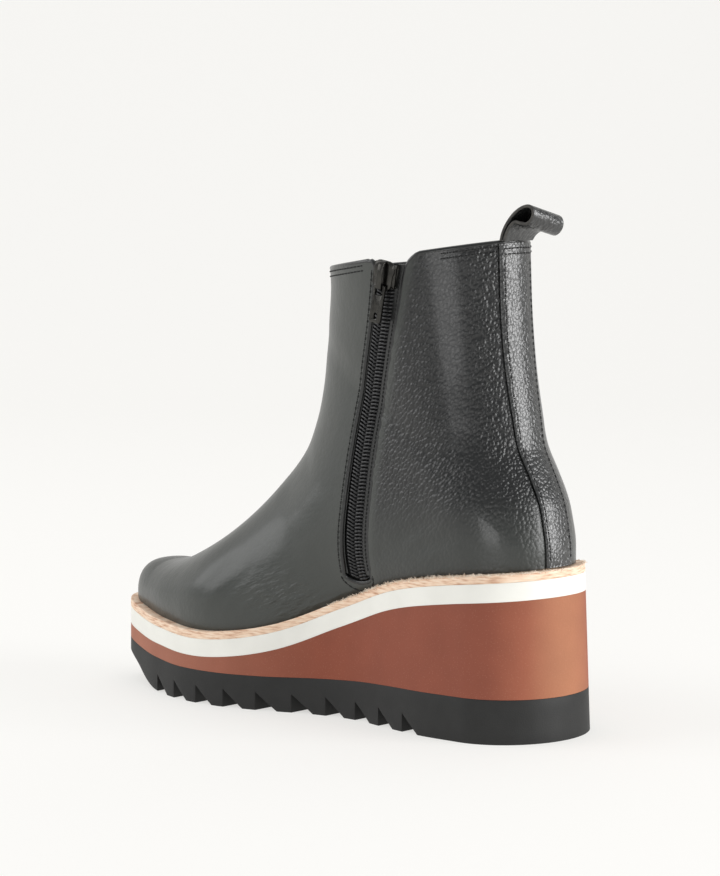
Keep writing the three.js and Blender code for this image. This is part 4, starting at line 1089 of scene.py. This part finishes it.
# Loose fibres along the welt's top edge
random = np.random.default_rng(11)
fibreShape = smallShape("fibreShape", [(0, 0, -0.1), (0.35, 0.05, 0.12), (0.75, 0.0, 0.2), (1.15, -0.1, 0.12)],
                        ringProfile(0.13, 3), [1, 1, 0.8, 0.4])
fibreCount = 1500
fibreSpots = []
for _ in range(fibreCount):
    at = random.uniform(0.0, 0.5) ** 1.2
    side = -1 if random.random() < 0.7 else 1
    shelf = random.uniform(0.0, 0.35)
    p = np.array(edgePoint(side, at, weltTop(at) - random.uniform(0, 0.3), shelf))
    q = np.array(edgePoint(side, min(at + 0.004, 1), weltTop(at), shelf))
    along = unit(q - p) * random.choice([-1, 1]) + random.normal(0, 0.5, 3)
    fibreSpots.append((p, along, np.array([side * 0.6, 0, 0.8]) + random.normal(0, 0.3, 3)))
settle(repeated("weltFibres", fibreSpots, fibreShape, paleFibre, spread=0.4), "boot", "welt_leather")
for shape in (stitchShape, holeShape, *toothShapes, fibreShape):
    bpy.data.objects.remove(shape)
print("fibres ready")


# Floor, light and camera. The paper runs from under the boot back and up behind it
def paperSweep():
    bend = {"start": 1.6, "radius": 1.2, "low": -3.0, "high": 4.0}
    steps = [(bend["low"], 0.0), (bend["start"], 0.0)]
    steps += [(bend["start"] + bend["radius"] * math.sin(t), bend["radius"] * (1 - math.cos(t)))
              for t in np.linspace(0.1, math.pi / 2, 24)] + [(bend["start"] + bend["radius"], bend["high"])]
    points = [(0.71 * away + 0.70 * side, 0.70 * away - 0.71 * side, up)  # away from the camera
              for away, up in steps for side in (-5, 5)]
    mesh = bpy.data.meshes.new("paper")
    mesh.from_pydata(points, [], [(2 * k, 2 * k + 1, 2 * k + 3, 2 * k + 2) for k in range(len(steps) - 1)])
    mesh.shade_smooth()
    mesh.materials.append(newMaterial(
        "paper", Roughness=0.95, Base_Color=colour("#a9a8a6"), Emission_Color=colour("#fffefb"),
        Emission_Strength=0.61, Specular_IOR_Level=0.0)[0])
    paper = addObject("paper", mesh)


paperSweep()
world = bpy.data.worlds.new("studio")
world.use_nodes = True
world.node_tree.nodes["Background"].inputs["Color"].default_value = colour("#f4f6f8")
world.node_tree.nodes["Background"].inputs["Strength"].default_value = 0.42
bpy.context.scene.world = world
bpy.context.scene.view_settings.view_transform = "Standard"


def softBox(name, place, target, width, height, watts):
    light = bpy.data.lights.new(name, "AREA")
    light.shape = "RECTANGLE"
    light.size = width
    light.size_y = height
    light.energy = watts
    holder = addObject(name, light)
    holder.location = place
    holder.rotation_euler = (Vector(target) - Vector(place)).to_track_quat("-Z", "Y").to_euler()


softBox("topLight", (0.3, 0.4, 2.4), (0, 0.1, 0), 3.0, 3.0, 14)
softBox("heelLight", (0.6, -1.5, 0.38), (0, 0.0, 0.12), 1.0, 0.9, 24)
softBox("frontLight", (-1.3, 1.5, 1.0), (0, 0.12, 0.08), 1.6, 1.2, 16)
softBox("sideLight", (-1.7, -0.8, 0.1), (0, 0.0, 0.1), 0.7, 0.45, 6)

forward = Vector((0.70699, 0.70047, -0.09752))
right = Vector((0.70293, -0.71115, -0.01208))
upward = Vector((0.07782, 0.06001, 0.99516))
cameraData = bpy.data.cameras.new("camera")
cameraData.sensor_fit = "VERTICAL"
cameraData.sensor_height = 36
cameraData.lens = 120.96
camera = addObject("camera", cameraData)
turned = Matrix((right, upward, -forward)).transposed().to_4x4()
camera.matrix_world = Matrix.Translation((-0.95386, -0.85483, 0.25543)) @ turned
bpy.context.scene.camera = camera
